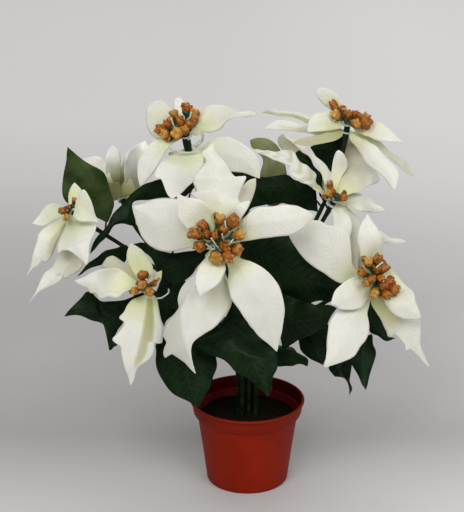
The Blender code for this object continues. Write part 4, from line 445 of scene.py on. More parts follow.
class Shell:
    """Collects closed pieces of one object: vertices, faces and point values."""

    def __init__(self):
        self.verts, self.faces, self.flat, self.count = [], [], [], 0
        self.values = {}

    def add(self, verts, faces, values=None, flat=None):
        base = self.count
        self.verts.append(np.asarray(verts, float))
        self.faces += [tuple(int(i) + base for i in f) for f in faces]
        self.flat += list(flat) if flat is not None else [False] * len(faces)
        n = len(verts)
        for k, v in (values or {}).items():
            self.values.setdefault(k, []).append((base, np.broadcast_to(np.asarray(v, float), (n,)).copy()))
        self.count += n

    def object(self, name, mat, body="root", slot=None, replaces=()):
        mesh = bpy.data.meshes.new(name)
        v = np.concatenate(self.verts)
        mesh.from_pydata(v.tolist(), [], self.faces)
        mesh.update()
        bm = bmesh.new()
        bm.from_mesh(mesh)
        bmesh.ops.recalc_face_normals(bm, faces=bm.faces)
        bm.to_mesh(mesh)
        bm.free()
        mesh.polygons.foreach_set("use_smooth", [not f for f in self.flat])
        for k, parts in self.values.items():
            full = np.zeros(self.count)
            for base, vals in parts:
                full[base:base + len(vals)] = vals
            put_attributes(mesh, {k: full})
        mesh.materials.append(mat)
        ob = bpy.data.objects.new(name, mesh)
        bpy.context.scene.collection.objects.link(ob)
        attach(ob, body)
        if replaces:
            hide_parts(*replaces)
        return ob


def grid_normals(p):
    du = np.gradient(p, axis=0)
    dv = np.gradient(p, axis=1)
    n = np.cross(du, dv)
    bad = np.linalg.norm(n, axis=-1) < 1e-14
    n = normalise(n)
    if bad.any():
        for i, j in zip(*np.nonzero(bad)):
            n[i, j] = n[max(i - 1, 0), p.shape[1] // 2]
    return n


def facing(p):
    """Mean normal of a grid, weighted by area."""
    c = np.cross(np.gradient(p, axis=0), np.gradient(p, axis=1))
    return unit(c.reshape(-1, 3).sum(axis=0))


def sheet(shell, p, thick, values, face_to):
    """Closed thin sheet: rows of points whose last row has run together in the tip."""
    nu, nv = p.shape[:2]
    n = grid_normals(p)
    if float(facing(p) @ face_to) < 0:
        n = -n
    tip = p[-1, nv // 2]
    body = p[:-1]
    nb = n[:-1]
    taper = np.ones((nu - 1, nv, 1))
    top = body + nb * thick / 2 * taper
    low = body - nb * thick / 2 * taper
    m = (nu - 1) * nv
    verts = np.concatenate([top.reshape(-1, 3), low.reshape(-1, 3), tip[None]])
    faces, flat = [], []
    for i in range(nu - 2):
        for j in range(nv - 1):
            a = i * nv + j
            faces.append((a, a + 1, a + nv + 1, a + nv))
            faces.append((m + a, m + a + nv, m + a + nv + 1, m + a + 1))
            flat += [False, False]
        for j in (0, nv - 1):
            a = i * nv + j
            faces.append((a, a + nv, m + a + nv, m + a))
            flat.append(True)
    last = (nu - 2) * nv
    for j in range(nv - 1):
        faces.append((last + j, last + j + 1, 2 * m))
        faces.append((m + last + j + 1, m + last + j, 2 * m))
        flat += [False, False]
        faces.append((j + 1, j, m + j, m + j + 1))
        flat.append(True)
    faces.append((last, 2 * m, m + last))
    faces.append((last + nv - 1, m + last + nv - 1, 2 * m))
    flat += [True, True]
    out = {}
    for k, v in values.items():
        g = np.broadcast_to(v, (nu, nv))
        b = g[:-1].reshape(-1)
        out[k] = np.concatenate([b, b, [g[-1, nv // 2]]])
    out["under"] = np.concatenate([np.zeros(m), np.ones(m), [0.5]])
    shell.add(verts, faces, out, flat)


def tube(shell, path, radii, sides=8, values=None, flat_ends=True):
    """Closed round tube along a path, its radius given at each point."""
    path = np.asarray(path, float)
    radii = np.broadcast_to(np.asarray(radii, float), (len(path),))
    tan = normalise(np.gradient(path, axis=0))
    ref = np.array([0.0, 0.0, 1.0]) if abs(tan[0][2]) < 0.9 else np.array([1.0, 0.0, 0.0])
    x = unit(np.cross(tan[0], ref))
    rings = []
    for k in range(len(path)):
        x = unit(x - tan[k] * float(x @ tan[k]))
        y = np.cross(tan[k], x)
        a = np.linspace(0, 2 * pi, sides, endpoint=False)
        rings.append(path[k] + (np.cos(a)[:, None] * x + np.sin(a)[:, None] * y) * radii[k])
    verts = np.concatenate(rings + [path[:1], path[-1:]])
    n = len(path)
    faces = []
    for k in range(n - 1):
        for j in range(sides):
            a, b = k * sides + j, k * sides + (j + 1) % sides
            faces.append((a, b, b + sides, a + sides))
    for j in range(sides):
        faces.append(((j + 1) % sides, j, n * sides))
        faces.append(((n - 1) * sides + j, (n - 1) * sides + (j + 1) % sides, n * sides + 1))
    shell.add(verts, faces, values)


# ------------------------------------------------------------------ materials
def new_material(name):
    m = bpy.data.materials.new(name)
    m.use_nodes = True
    return m, m.node_tree, m.node_tree.nodes["Principled BSDF"]


def node(tree, kind, **inputs):
    n = tree.nodes.new(kind)
    for k, v in inputs.items():
        if k in ("operation", "blend_type", "data_type", "noise_dimensions", "attribute_name", "mode", "wave_type", "feature", "clamp", "interpolation_type", "noise_type", "invert"):
            setattr(n, k, v)
    return n


def math(tree, op, a, b=None, clamp=False):
    n = tree.nodes.new("ShaderNodeMath")
    n.operation = op
    n.use_clamp = clamp
    for i, v in enumerate((a, b)):
        if v is None:
            continue
        if isinstance(v, (int, float)):
            n.inputs[i].default_value = v
        else:
            tree.links.new(v, n.inputs[i])
    return n.outputs[0]


def ramp(tree, value, lo, hi, to_lo=0.0, to_hi=1.0):
    n = tree.nodes.new("ShaderNodeMapRange")
    n.clamp = True
    n.interpolation_type = "SMOOTHSTEP"
    tree.links.new(value, n.inputs["Value"])
    for k, v in (("From Min", lo), ("From Max", hi), ("To Min", to_lo), ("To Max", to_hi)):
        n.inputs[k].default_value = v
    return n.outputs[0]


def blend(tree, factor, a, b, kind="MIX"):
    n = tree.nodes.new("ShaderNodeMix")
    n.data_type = "RGBA"
    n.blend_type = kind
    n.clamp_factor = True
    if isinstance(factor, (int, float)):
        n.inputs[0].default_value = factor
    else:
        tree.links.new(factor, n.inputs[0])
    for i, v in ((6, a), (7, b)):
        if isinstance(v, tuple):
            n.inputs[i].default_value = (*v, 1)
        else:
            tree.links.new(v, n.inputs[i])
    return n.outputs[2]


def value_of(tree, name):
    n = tree.nodes.new("ShaderNodeAttribute")
    n.attribute_name = name
    return n.outputs["Fac"]


def cloud(tree, scale, detail=3.0, rough=0.55, coords=None):
    n = tree.nodes.new("ShaderNodeTexNoise")
    n.inputs["Scale"].default_value = scale
    n.inputs["Detail"].default_value = detail
    n.inputs["Roughness"].default_value = rough
    if coords is None:
        coords = tree.nodes.new("ShaderNodeTexCoord").outputs["Object"]
    tree.links.new(coords, n.inputs["Vector"])
    return n.outputs["Fac"]


def bump(tree, height, strength, distance, chain=None):
    n = tree.nodes.new("ShaderNodeBump")
    n.inputs["Strength"].default_value = strength
    n.inputs["Distance"].default_value = distance
    tree.links.new(height, n.inputs["Height"])
    if chain is not None:
        tree.links.new(chain, n.inputs["Normal"])
    return n.outputs["Normal"]


def vein_mask(tree, spacing, rake, width):
    """1 on the midrib and on side veins that run from it towards the margin and the tip."""
    along, across = value_of(tree, "along"), value_of(tree, "across")
    dist = math(tree, "ABSOLUTE", across)
    slanted = math(tree, "SUBTRACT", along, math(tree, "MULTIPLY", dist, rake))
    wander = math(tree, "MULTIPLY", math(tree, "SUBTRACT", cloud(tree, 90.0, 1.0), 0.5), spacing * 0.9)
    phase = math(tree, "DIVIDE", math(tree, "ADD", slanted, wander), spacing)
    saw = math(tree, "ABSOLUTE", math(tree, "SUBTRACT", math(tree, "FRACT", phase), 0.5))
    side = ramp(tree, saw, 0.0, width, 1.0, 0.0)
    side = math(tree, "MULTIPLY", side, ramp(tree, value_of(tree, "rim"), 0.06, 0.30))
    rib = ramp(tree, dist, 0.25, 1.1, 1.0, 0.0)
    return math(tree, "MAXIMUM", side, rib)


def bract_material():
    m, t, p = new_material("bract_fabric_cream")
    mottle = cloud(t, 38.0, 4.0, 0.6)
    fine = cloud(t, 260.0, 3.0, 0.6)
    cream = blend(t, ramp(t, mottle, 0.35, 0.68), (0.645, 0.634, 0.566), (0.705, 0.695, 0.630))
    cream = blend(t, math(t, "MULTIPLY", ramp(t, fine, 0.40, 0.72), 0.30), cream, (0.640, 0.630, 0.560))
    veins = vein_mask(t, 5.4, 0.85, 0.16)
    cream = blend(t, math(t, "MULTIPLY", veins, 0.10), cream, (0.640, 0.620, 0.440))
    hub = math(t, "ADD", value_of(t, "hub"), math(t, "MULTIPLY", math(t, "SUBTRACT", mottle, 0.5), 16.0))
    near = ramp(t, hub, 10.0, 44.0, 1.0, 0.0)
    edge = ramp(t, value_of(t, "rim"), 0.0, 0.30, 1.0, 0.0)
    tint = math(t, "MULTIPLY", near, math(t, "ADD", 0.74, math(t, "MULTIPLY", edge, 0.26)), True)
    colour = blend(t, tint, cream, (0.560, 0.590, 0.270))
    margin = math(t, "MULTIPLY", ramp(t, value_of(t, "rim"), 0.0, 0.07, 1.0, 0.0), 0.22)
    colour = blend(t, margin, colour, (0.620, 0.620, 0.400))
    green_base = math(t, "MULTIPLY", ramp(t, hub, 12.0, 50.0, 1.0, 0.0), value_of(t, "foot"), True)
    # painted shade: the shade value darkens the bract towards olive-grey where it lies in shadow, behind other bracts
    # or in folds; it also gives undersides seen from the front their olive-beige tone
    colour = blend(t, math(t, "MULTIPLY", value_of(t, "shade"), 0.85, True), colour, (0.325, 0.318, 0.110))
    colour = blend(t, math(t, "MULTIPLY", value_of(t, "under"), 0.30), colour, (0.590, 0.565, 0.430))
    # painted light: on the back-left bracts (olive) the foot value lightens the whole bract towards pale cream,
    # standing in for light shining through them; green_base gives them their olive base colour
    colour = blend(t, math(t, "MULTIPLY", value_of(t, "foot"), 0.90), colour, (0.900, 0.890, 0.810))
    colour = blend(t, green_base, colour, (0.270, 0.275, 0.042))
    t.links.new(colour, p.inputs["Base Color"])
    t.links.new(ramp(t, fine, 0.3, 0.7, 0.66, 0.82), p.inputs["Roughness"])
    p.inputs["Specular IOR Level"].default_value = 0.20
    p.inputs["Sheen Weight"].default_value = 0.45
    p.inputs["Sheen Roughness"].default_value = 0.60
    p.inputs["Subsurface Weight"].default_value = 0.35
    p.inputs["Subsurface Radius"].default_value = (1.0, 0.92, 0.60)
    p.inputs["Subsurface Scale"].default_value = 0.0014
    weave = cloud(t, 2100.0, 2.0, 0.5)
    n1 = bump(t, weave, 0.24, 0.00012)
    n0 = bump(t, cloud(t, 150.0, 3.0, 0.55), 0.22, 0.00060, n1)
    n2 = bump(t, math(t, "MULTIPLY", veins, -1.0), 0.40, 0.00030, n0)
    t.links.new(n2, p.inputs["Normal"])
    return m


def leaf_material():
    m, t, p = new_material("leaf_fabric_green")
    mottle = cloud(t, 55.0, 4.0, 0.6)
    fine = cloud(t, 420.0, 3.0, 0.6)
    green = blend(t, ramp(t, mottle, 0.32, 0.70), (0.0018, 0.0086, 0.0017), (0.0054, 0.0185, 0.0040))
    warm = blend(t, ramp(t, mottle, 0.32, 0.70), (0.0300, 0.0520, 0.0120), (0.0850, 0.1180, 0.0330))
    green = blend(t, value_of(t, "warm"), green, warm)
    veins = vein_mask(t, 7.5, 0.80, 0.13)
    green = blend(t, math(t, "MULTIPLY", veins, 0.26), green, (0.0210, 0.0470, 0.0140))
    green = blend(t, math(t, "MULTIPLY", ramp(t, fine, 0.5, 0.75), 0.25), green, (0.0120, 0.0240, 0.0085))
    green = blend(t, math(t, "MULTIPLY", value_of(t, "under"), 0.70), green, (0.0260, 0.0400, 0.0160))
    # mixes the leaf towards a light grey-olive: the tone of its paler underside, lightened further as painted light for
    # that lit underside
    green = blend(t, value_of(t, "dust"), green, blend(t, ramp(t, mottle, 0.32, 0.70), (0.2050, 0.2200, 0.0980), (0.3100, 0.3250, 0.1500)))
    t.links.new(green, p.inputs["Base Color"])
    t.links.new(ramp(t, mottle, 0.3, 0.7, 0.36, 0.50), p.inputs["Roughness"])
    p.inputs["Specular IOR Level"].default_value = 0.10
    weave = cloud(t, 1500.0, 2.0, 0.5)
    n1 = bump(t, weave, 0.22, 0.00012)
    n2 = bump(t, math(t, "MULTIPLY", veins, -1.0), 0.40, 0.00030, n1)
    t.links.new(n2, p.inputs["Normal"])
    return m


def stem_material():
    m, t, p = new_material("stem_plastic_green")
    c = cloud(t, 160.0, 3.0, 0.6)
    t.links.new(blend(t, ramp(t, c, 0.35, 0.65), (0.0045, 0.0105, 0.0036), (0.0140, 0.0240, 0.0080)), p.inputs["Base Color"])
    t.links.new(ramp(t, c, 0.3, 0.7, 0.50, 0.66), p.inputs["Roughness"])
    p.inputs["Specular IOR Level"].default_value = 0.10
    t.links.new(bump(t, cloud(t, 700.0, 2.0), 0.3, 0.0002), p.inputs["Normal"])
    return m


def cup_material():
    m, t, p = new_material("cup_plastic_green")
    c = cloud(t, 420.0, 3.0, 0.6)
    t.links.new(blend(t, ramp(t, c, 0.35, 0.68), (0.0110, 0.0330, 0.0110), (0.0420, 0.0900, 0.0300)), p.inputs["Base Color"])
    t.links.new(ramp(t, c, 0.3, 0.7, 0.30, 0.50), p.inputs["Roughness"])
    t.links.new(bump(t, cloud(t, 1100.0, 2.0), 0.3, 0.0002), p.inputs["Normal"])
    return m


def bud_material():
    m, t, p = new_material("bud_plastic_orange")
    c = cloud(t, 330.0, 4.0, 0.65)
    fleck = cloud(t, 640.0, 2.0, 0.5)
    colour = blend(t, ramp(t, c, 0.34, 0.66), (0.135, 0.021, 0.0005), (0.370, 0.094, 0.0020))
    colour = blend(t, ramp(t, fleck, 0.58, 0.70), colour, (0.560, 0.250, 0.018))
    colour = blend(t, math(t, "MULTIPLY", ramp(t, cloud(t, 210.0, 2.0, 0.5), 0.53, 0.66), 0.72), colour, (0.042, 0.013, 0.0016))
    colour = blend(t, math(t, "MULTIPLY", value_of(t, "gold"), 0.80), colour, (0.640, 0.400, 0.075))
    colour = blend(t, value_of(t, "foot"), colour, (0.060, 0.070, 0.012))
    t.links.new(colour, p.inputs["Base Color"])
    t.links.new(ramp(t, c, 0.3, 0.7, 0.24, 0.46), p.inputs["Roughness"])
    p.inputs["Specular IOR Level"].default_value = 0.30
    t.links.new(bump(t, fleck, 0.8, 0.0007), p.inputs["Normal"])
    return m


def clear_material():
    m, t, p = new_material("holder_plastic_clear")
    c = cloud(t, 300.0, 2.0, 0.5)
    t.links.new(blend(t, ramp(t, c, 0.35, 0.65), (0.400, 0.425, 0.350), (0.560, 0.580, 0.500)), p.inputs["Base Color"])
    t.links.new(ramp(t, c, 0.3, 0.7, 0.28, 0.42), p.inputs["Roughness"])
    p.inputs["Subsurface Weight"].default_value = 0.15
    p.inputs["Subsurface Scale"].default_value = 0.002
    return m


def pot_material(name="pot_plastic_terracotta", painted_shade=0.0):
    m, t, p = new_material(name)
    c = cloud(t, 26.0, 4.0, 0.6)
    fine = cloud(t, 900.0, 3.0, 0.6)
    colour = blend(t, ramp(t, c, 0.30, 0.72), (0.200, 0.0085, 0.0006), (0.245, 0.0115, 0.0014))
    colour = blend(t, math(t, "MULTIPLY", ramp(t, fine, 0.62, 0.78), 0.35), colour, (0.250, 0.040, 0.020))
    sep = t.nodes.new("ShaderNodeSeparateXYZ")
    t.links.new(t.nodes.new("ShaderNodeTexCoord").outputs["Object"], sep.inputs[0])
    # painted shade: the pot's collar and rim are darkened as if in the shadow of the foliage above
    canopy_shade = math(t, "MULTIPLY", ramp(t, sep.outputs["Z"], COLLAR_Z - 0.0030, COLLAR_Z + 0.0040), 0.30)
    colour = blend(t, canopy_shade, colour, (0.075, 0.0035, 0.0004))
    # painted shade: the second argument darkens the whole material, used for the pot's inner wall
    colour = blend(t, painted_shade, colour, (0.012, 0.0012, 0.0004))
    t.links.new(colour, p.inputs["Base Color"])
    t.links.new(ramp(t, fine, 0.3, 0.7, 0.46, 0.60), p.inputs["Roughness"])
    p.inputs["Specular IOR Level"].default_value = 0.10
    n1 = bump(t, fine, 0.30, 0.00012)
    t.links.new(n1, p.inputs["Normal"])
    return m


def soil_material():
    m, t, p = new_material("filler_dark")
    c = cloud(t, 420.0, 5.0, 0.7)
    colour = blend(t, ramp(t, c, 0.35, 0.70), (0.0030, 0.0028, 0.0016), (0.0125, 0.0088, 0.0042))
    t.links.new(colour, p.inputs["Base Color"])
    p.inputs["Roughness"].default_value = 0.95
    p.inputs["Specular IOR Level"].default_value = 0.05
    t.links.new(bump(t, cloud(t, 1200.0, 4.0, 0.7), 0.8, 0.0008), p.inputs["Normal"])
    return m


BRACT, LEAF, STEM, CUP = bract_material(), leaf_material(), stem_material(), cup_material()
BUD, CLEAR, POT, SOIL = bud_material(), clear_material(), pot_material(), soil_material()
# darker inside copy of the pot material: painted shade
POT_INSIDE_SHADED = pot_material("pot_plastic_inside_shaded", 0.62)

# ------------------------------------------------------------------ blades
def seed_of(text):
    s = 7
    for ch in text:
        s = (s * 131 + ord(ch)) % 1000003
    return s


def waves(rng, x, y, count, lo, hi):
    """Sum of a few plane waves with wavelengths between lo and hi."""
    out = np.zeros(np.broadcast(x, y).shape)
    for _ in range(count):
        a = rng.uniform(0, 2 * pi)
        k = 2 * pi / rng.uniform(lo, hi)
        out += np.sin(k * (x * cos(a) + y * sin(a)) + rng.uniform(0, 2 * pi))
    return out / count


def dress(p, t, rng, kind, size=1.0, ruffle=0.0):
    """Relief of a pressed fabric blade; returns moved points and the point values."""
    nv = p.shape[1]
    mid = nv // 2
    rib = p[:, mid]
    run = np.concatenate([[0.0], np.cumsum(np.linalg.norm(np.diff(rib, axis=0), axis=1))])
    step = np.linalg.norm(np.diff(p, axis=1), axis=2)
    dist = np.zeros(p.shape[:2])
    dist[:, mid + 1:] = np.cumsum(step[:, mid:], axis=1)
    dist[:, :mid] = -np.cumsum(step[:, :mid][:, ::-1], axis=1)[:, ::-1]
    half = np.where(t < 0, -dist[:, :1], dist[:, -1:])
    n = grid_normals(p)
    s = run / run[-1]
    fade = smooth(s, 0.02, 0.16)[:, None] * smooth(1 - s, 0.0, 0.10)[:, None]
    at_ = np.abs(t)[None, :]
    r = run[:, None]
    d = np.abs(dist)
    relief = np.zeros(p.shape[:2])
    if kind == "bract":
        relief -= 0.00022 * np.exp(-(dist / 0.0010) ** 2) * fade
        relief += 0.00008 * np.sin(2 * pi * (r - 0.85 * d) / 0.0054) * smooth(at_, 0.05, 0.3) * (1 - at_ ** 3) * fade
        edge = np.where(t[None, :] < 0, np.sin(2 * pi * r / rng.uniform(.024, .034) + rng.uniform(0, 6)),
                        np.sin(2 * pi * r / rng.uniform(.024, .034) + rng.uniform(0, 6)))
        relief += 0.0011 * size * at_ ** 2.5 * edge * fade
        relief += 0.0011 * size * waves(rng, r, dist, 4, .022, .050) * fade
        relief += 0.00014 * waves(rng, r, dist, 5, .006, .012) * fade
        relief += ruffle * np.sin(2 * pi * (r - 0.55 * d) / 0.0145) * smooth(at_, 0.0, 0.5) * fade
    else:
        relief += 0.00045 * np.exp(-(dist / 0.0012) ** 2) * fade
        saw = np.abs(((r - 0.8 * d) / 0.0075) % 1.0 - 0.5) * 2
        relief += 0.00055 * (saw - 0.5) * smooth(at_, 0.04, 0.25) * (1 - at_ ** 4) * fade
        edge = np.where(t[None, :] < 0, np.sin(2 * pi * r / rng.uniform(.020, .030) + rng.uniform(0, 6)),
                        np.sin(2 * pi * r / rng.uniform(.020, .030) + rng.uniform(0, 6)))
        relief += 0.0013 * at_ ** 2.2 * edge * fade
        relief += 0.0012 * waves(rng, r, dist, 4, .020, .045) * fade
    out = p + n * relief[..., None]
    rim = 1 - np.broadcast_to(at_, p.shape[:2])
    rim = np.minimum(rim, np.broadcast_to((1 - s)[:, None] * 3, rim.shape))
    return out, dict(along=np.broadcast_to(r * 1000, p.shape[:2]), across=dist * 1000, rim=rim)


def counts(p_len, p_wid):
    nu = int(np.clip(p_len / 0.0015, 26, 76))
    nv = int(np.clip(p_wid / 0.0018, 8, 24)) | 1
    return nu, nv


COLS = np.linspace(-1, 1, 9)


def rows_of(first, nu):
    return np.concatenate([np.linspace(first, 0.965, nu - 2), [0.986, 1.0]])


def bract_blade(shell, holder, b, index):
    head = b["n"]
    layer = b["w"]
    single = head in SINGLE_LAYER
    centre = layer_centre(head, "both" if single else layer)
    c, face = head_frame(head)
    rng = np.random.default_rng(seed_of(head + layer) + index * 17)
    if "L" in b:
        test = seen_grid(b, centre[1], np.linspace(0, 1, 12), np.array([-1.0, 0.0, 1.0]))
    else:
        test = free_grid(b, centre, np.linspace(0, 1, 12), np.array([-1.0, 0.0, 1.0]))
    length = np.linalg.norm(np.diff(test[:, 1], axis=0), axis=1).sum()
    width = np.linalg.norm(test[:, 2] - test[:, 0], axis=1).max()
    reach = np.linalg.norm(test[-1, 1] - centre)
    first = min(0.24, max(0.05, 0.0075 / reach))
    nu, nv = counts(length, width)
    s, t = rows_of(first, nu), np.linspace(-1, 1, nv)
    p = seen_grid(b, centre[1], s, t) if "L" in b else free_grid(b, centre, s, t)
    # neck, from the ring to the first row
    row = p[0]
    mid = row[nv // 2]
    out_dir = mid - centre
    flat_dir = unit(out_dir - face * float(out_dir @ face))
    root = centre + flat_dir * (RING_RADIUS * 0.75)
    side = unit(row[-1] - row[0])
    wide = np.linalg.norm(row[-1] - row[0]) / 2
    nn = 5
    neck = []
    for k in range(nn):
        q = k / nn
        m = root + (mid - root) * q
        w = 0.0010 + (wide - 0.0010) * q * q * (3 - 2 * q)
        line = m + side * (t[:, None] * w)
        neck.append(line * (1 - q ** 3) + (row + (m - mid)) * q ** 3)
    p = np.concatenate([np.array(neck), p])
    p, values = dress(p, t, rng, "bract", 0.45 if "L" in b else 1.0, b.get("ruffle", 0.0))
    values["hub"] = np.linalg.norm(p - c, axis=-1) * 1000 + b.get("pale", -30.0 if b["n"] == "back_left" and "turn" in b else 0.0)
    # olive: the olive base colour, and painted light that lightens these bracts in the bract material
    values["foot"] = np.full(p.shape[:2], float(b.get("olive", 1.0 if b["n"] == "back_left" else 0.0)))
    values["shade"] = np.full(p.shape[:2], float(b.get("shade", 0.0)))
    # painted shade: a ruffled bract also gets shade stripes along the troughs of its ruffles
    if "ruffle" in b:
        wave = np.sin(2 * pi * (values["along"] - 0.55 * np.abs(values["across"])) / 14.5 + 0.9)
        rows = np.linspace(0, 1, len(p))[:, None]
        values["shade"] = values["shade"] + 0.55 * smooth(wave, 0.10, 0.98) * smooth(t, -0.75, -0.1)[None, :] * smooth(rows, 0.02, 0.15) * (1 - smooth(rows, 0.55, 0.8))
    # painted shade: each fold_shade band darkens a strip of the blade's columns and rows towards olive-grey, where a
    # crease or fold lies in shadow
    for key in ("fold_shade", "fold_shade2"):
        if key not in b:
            continue
        t0, t1, deep, s0, s1 = b[key]
        rows = np.linspace(0, 1, len(p))[:, None]
        cols = t[None, :]
        band = smooth(cols, t0 - 0.05, t0 + 0.05) * (1 - smooth(cols, t1 - 0.05, t1 + 0.05))
        reach_in = smooth(rows, s0 - 0.04, s0 + 0.06) * (1 - smooth(rows, s1 - 0.12, s1 + 0.02))
        values["shade"] = values["shade"] + deep * band * reach_in * (1.15 - 0.55 * rows)
    to_eye = VIEW_FROM - p[len(p) // 2, nv // 2]
    face_to = (to_eye if "L" in b else face)
    if b.get("back"):
        face_to = -face_to
    sheet(shell, p, CLOTH, values, unit(face_to))
    # rib of the holder, glued under the blade
    n = grid_normals(p)
    if float(facing(p) @ unit(face_to)) < 0:
        n = -n
    k = max(6, int(len(p) * 0.42))
    rib = p[1:k, nv // 2] - n[1:k, nv // 2] * 0.00062
    take = np.unique(np.linspace(0, len(rib) - 1, 10).astype(int))
    rib = rib[take]
    tube(holder, rib, np.linspace(0.00055, 0.00022, len(rib)), 6)
    return p


SINGLE_LAYER = ("back_left", "back", "back_right")


def ring(shell, centre, face, r_in, r_out, thick, steps=32):
    ex = unit(np.cross([0.0, 0.0, 1.0], face))
    ey = np.cross(face, ex)
    prof = [(r_in, -thick / 2), (r_out, -thick / 2), (r_out + thick * 0.3, 0), (r_out, thick / 2), (r_in, thick / 2)]
    verts, faces = [], []
    m = len(prof)
    for i in range(steps):
        a = 2 * pi * i / steps
        for r, h in prof:
            verts.append(centre + (ex * cos(a) + ey * sin(a)) * r + face * h)
    for i in range(steps):
        for j in range(m):
            a, b = i * m + j, i * m + (j + 1) % m
            c2, d = ((i + 1) % steps) * m + (j + 1) % m, ((i + 1) % steps) * m + j
            faces.append((a, b, c2, d))
    shell.add(np.array(verts), faces)


def build_bracts():
    for head in HEADS:
        layers = ("both",) if head in SINGLE_LAYER else ("upper", "lower")
        c, face = head_frame(head)
        holder = Shell()
        for layer in layers:
            ring(holder, layer_centre(head, layer), face, 0.0021, RING_RADIUS, 0.0009)
        for layer in layers:
            rows = [b for b in BRACTS + FAR if b["n"] == head and (layer == "both" or b["w"] == layer)]
            node_name = "bracts_" + head if layer == "both" else "%s_bracts_%s" % (layer, head)
            for i, b in enumerate(rows):
                shell = Shell()
                bract_blade(shell, holder, b, i)
                shell.object("bract_%s_%s_%d" % (head, layer, i + 1), BRACT, slot="bract", replaces=(node_name,))
        holder.object("holder_" + head, CLEAR, slot="bract")


# ------------------------------------------------------------------ stems
BUNDLE = {"upper_left": (BUNDLE_INNER, 175), "upper_right": (BUNDLE_INNER, 40), "front": (BUNDLE_INNER, -75),
          "lower_right": (BUNDLE_OUTER, -32), "mid_right": (BUNDLE_OUTER, 4), "back_right": (BUNDLE_OUTER, 44),
          "back": (BUNDLE_OUTER, 88), "back_left": (BUNDLE_OUTER, 136), "mid_left": (BUNDLE_OUTER, 184),
          "lower_left": (BUNDLE_OUTER, 232)}


def stem_path(name, n=12):
    c, f = head_frame(name)
    r, a = BUNDLE[name]
    foot = np.array([r * cos(radians(a)), r * sin(radians(a)), 0.0])
    low = foot + [0, 0, SOIL_TOP - STEM_DEPTH]
    mid = foot + [0, 0, BUNDLE_TOP]
    end = c + f * (LAYER_SHIFT + 0.0030)
    neck = c - f * (ring_drop(name) + 0.0060)
    span = np.linalg.norm(neck - mid)
    out_dir = unit([c[0] - mid[0], c[1] - mid[1], 0])
    p0, p3 = mid, neck
    p1 = mid + np.array([0, 0, 1.0]) * span * 0.34 + out_dir * span * 0.03
    p2 = neck - f * span * 0.34
    pts = [low, (low + mid) / 2]
    for t in np.linspace(0, 1, n):
        q = 1 - t
        pts.append(q ** 3 * p0 + 3 * q * q * t * p1 + 3 * q * t * t * p2 + t ** 3 * p3)
    return np.array(pts + [end])


def nearest_on_stem(name, point, lo=0.10, hi=0.93):
    path = track(stem_path(name, 20), np.linspace(0, 1, 120))
    run = np.linspace(0, 1, 120)
    ok = (run > lo) & (run < hi)
    d = np.linalg.norm(path - point, axis=1) + np.where(ok, 0, 9)
    i = int(np.argmin(d))
    return path[i], unit(path[min(i + 1, 119)] - path[max(i - 1, 0)])


def build_stems():
    for name in HEADS:
        path = track(stem_path(name, 24), np.linspace(0, 1, 110))
        rng = np.random.default_rng(seed_of(name))
        s = np.linspace(0, 1, 110)
        r = STEM_RADIUS * (1.0 + 0.035 * np.sin(s * 46 + rng.uniform(0, 6)) + 0.025 * np.sin(s * 113 + rng.uniform(0, 6)))
        r = r + (0.0018 if name == "upper_left" else 0.0008) * smooth(s, 0.86, 0.96)
        shell = Shell()
        tube(shell, path, r, 16)
        shell.object("stalk_" + name, STEM, slot="stem", replaces=("stem_" + name,))


# ------------------------------------------------------------------ leaves
def build_leaves():
    for spec in LEAVES:
        rng = np.random.default_rng(seed_of("leaf" + spec["k"]))
        test_s = np.linspace(0, 1, 12)
        three = np.array([-1.0, 0.0, 1.0])
        if "L" in spec:
            test = seen_grid(spec, spec["y0"], test_s, three)
            base = test[0, 1]
            start, along = nearest_on_stem(spec["stem"], base)
        else:
            pth = track(stem_path(spec["stem"], 20), [spec["root"], spec["root"] + .01])
            start, along = pth[0], unit(pth[1] - pth[0])
            base = start + direction(spec)[0] * 0.018
            test = free_grid(spec, base, test_s, three)
        length = np.linalg.norm(np.diff(test[:, 1], axis=0), axis=1).sum()
        width = np.linalg.norm(test[:, 2] - test[:, 0], axis=1).max()
        nu, nv = counts(length, width)
        s, t = rows_of(0.0, nu), np.linspace(-1, 1, nv)
        p = seen_grid(spec, spec["y0"], s, t) if "L" in spec else free_grid(spec, base, s, t)
        p, values = dress(p, t, rng, "leaf")
        values["warm"] = np.full(p.shape[:2], float(spec.get("warm", 0.0)))
        values["dust"] = np.full(p.shape[:2], float(spec.get("dust", 0.0)))
        to_eye = unit(VIEW_FROM - p[len(p) // 2, nv // 2])
        face_to = to_eye if "L" in spec else np.array([0.0, 0.0, 1.0])
        if spec.get("back"):
            face_to = -face_to
        shell = Shell()
        sheet(shell, p, CLOTH, values, face_to)
        # stalk from the stem, running on under the midrib
        away = base - start
        away = unit(away - along * float(away @ along))
        root = start + away * (STEM_RADIUS * 0.6)
        n = grid_normals(p)
        if float(facing(p) @ face_to) < 0:
            n = -n
        k = int(len(p) * 0.72)
        under = p[:k, nv // 2] - n[:k, nv // 2] * 0.00055
        gap = np.linalg.norm(base - root)
        lead = [root + (under[0] - root) * q + away * 0.10 * gap * sin(pi * q) for q in np.linspace(0, 1, 9)[:-1]]
        line = np.concatenate([np.array(lead), under[np.unique(np.linspace(0, k - 1, 16).astype(int))]])
        rad = np.concatenate([np.linspace(0.0011, 0.0009, 8), np.linspace(0.0008, 0.00025, len(line) - 8)])
        tube(shell, line, rad, 8, dict(along=0.0, across=9.0, rim=1.0, warm=float(spec.get("warm", 0.0)), dust=float(spec.get("dust", 0.0)), under=0.2))
        shell.object("foliage_" + spec["k"], LEAF, slot="leaf", replaces=("leaf_" + spec["k"],))


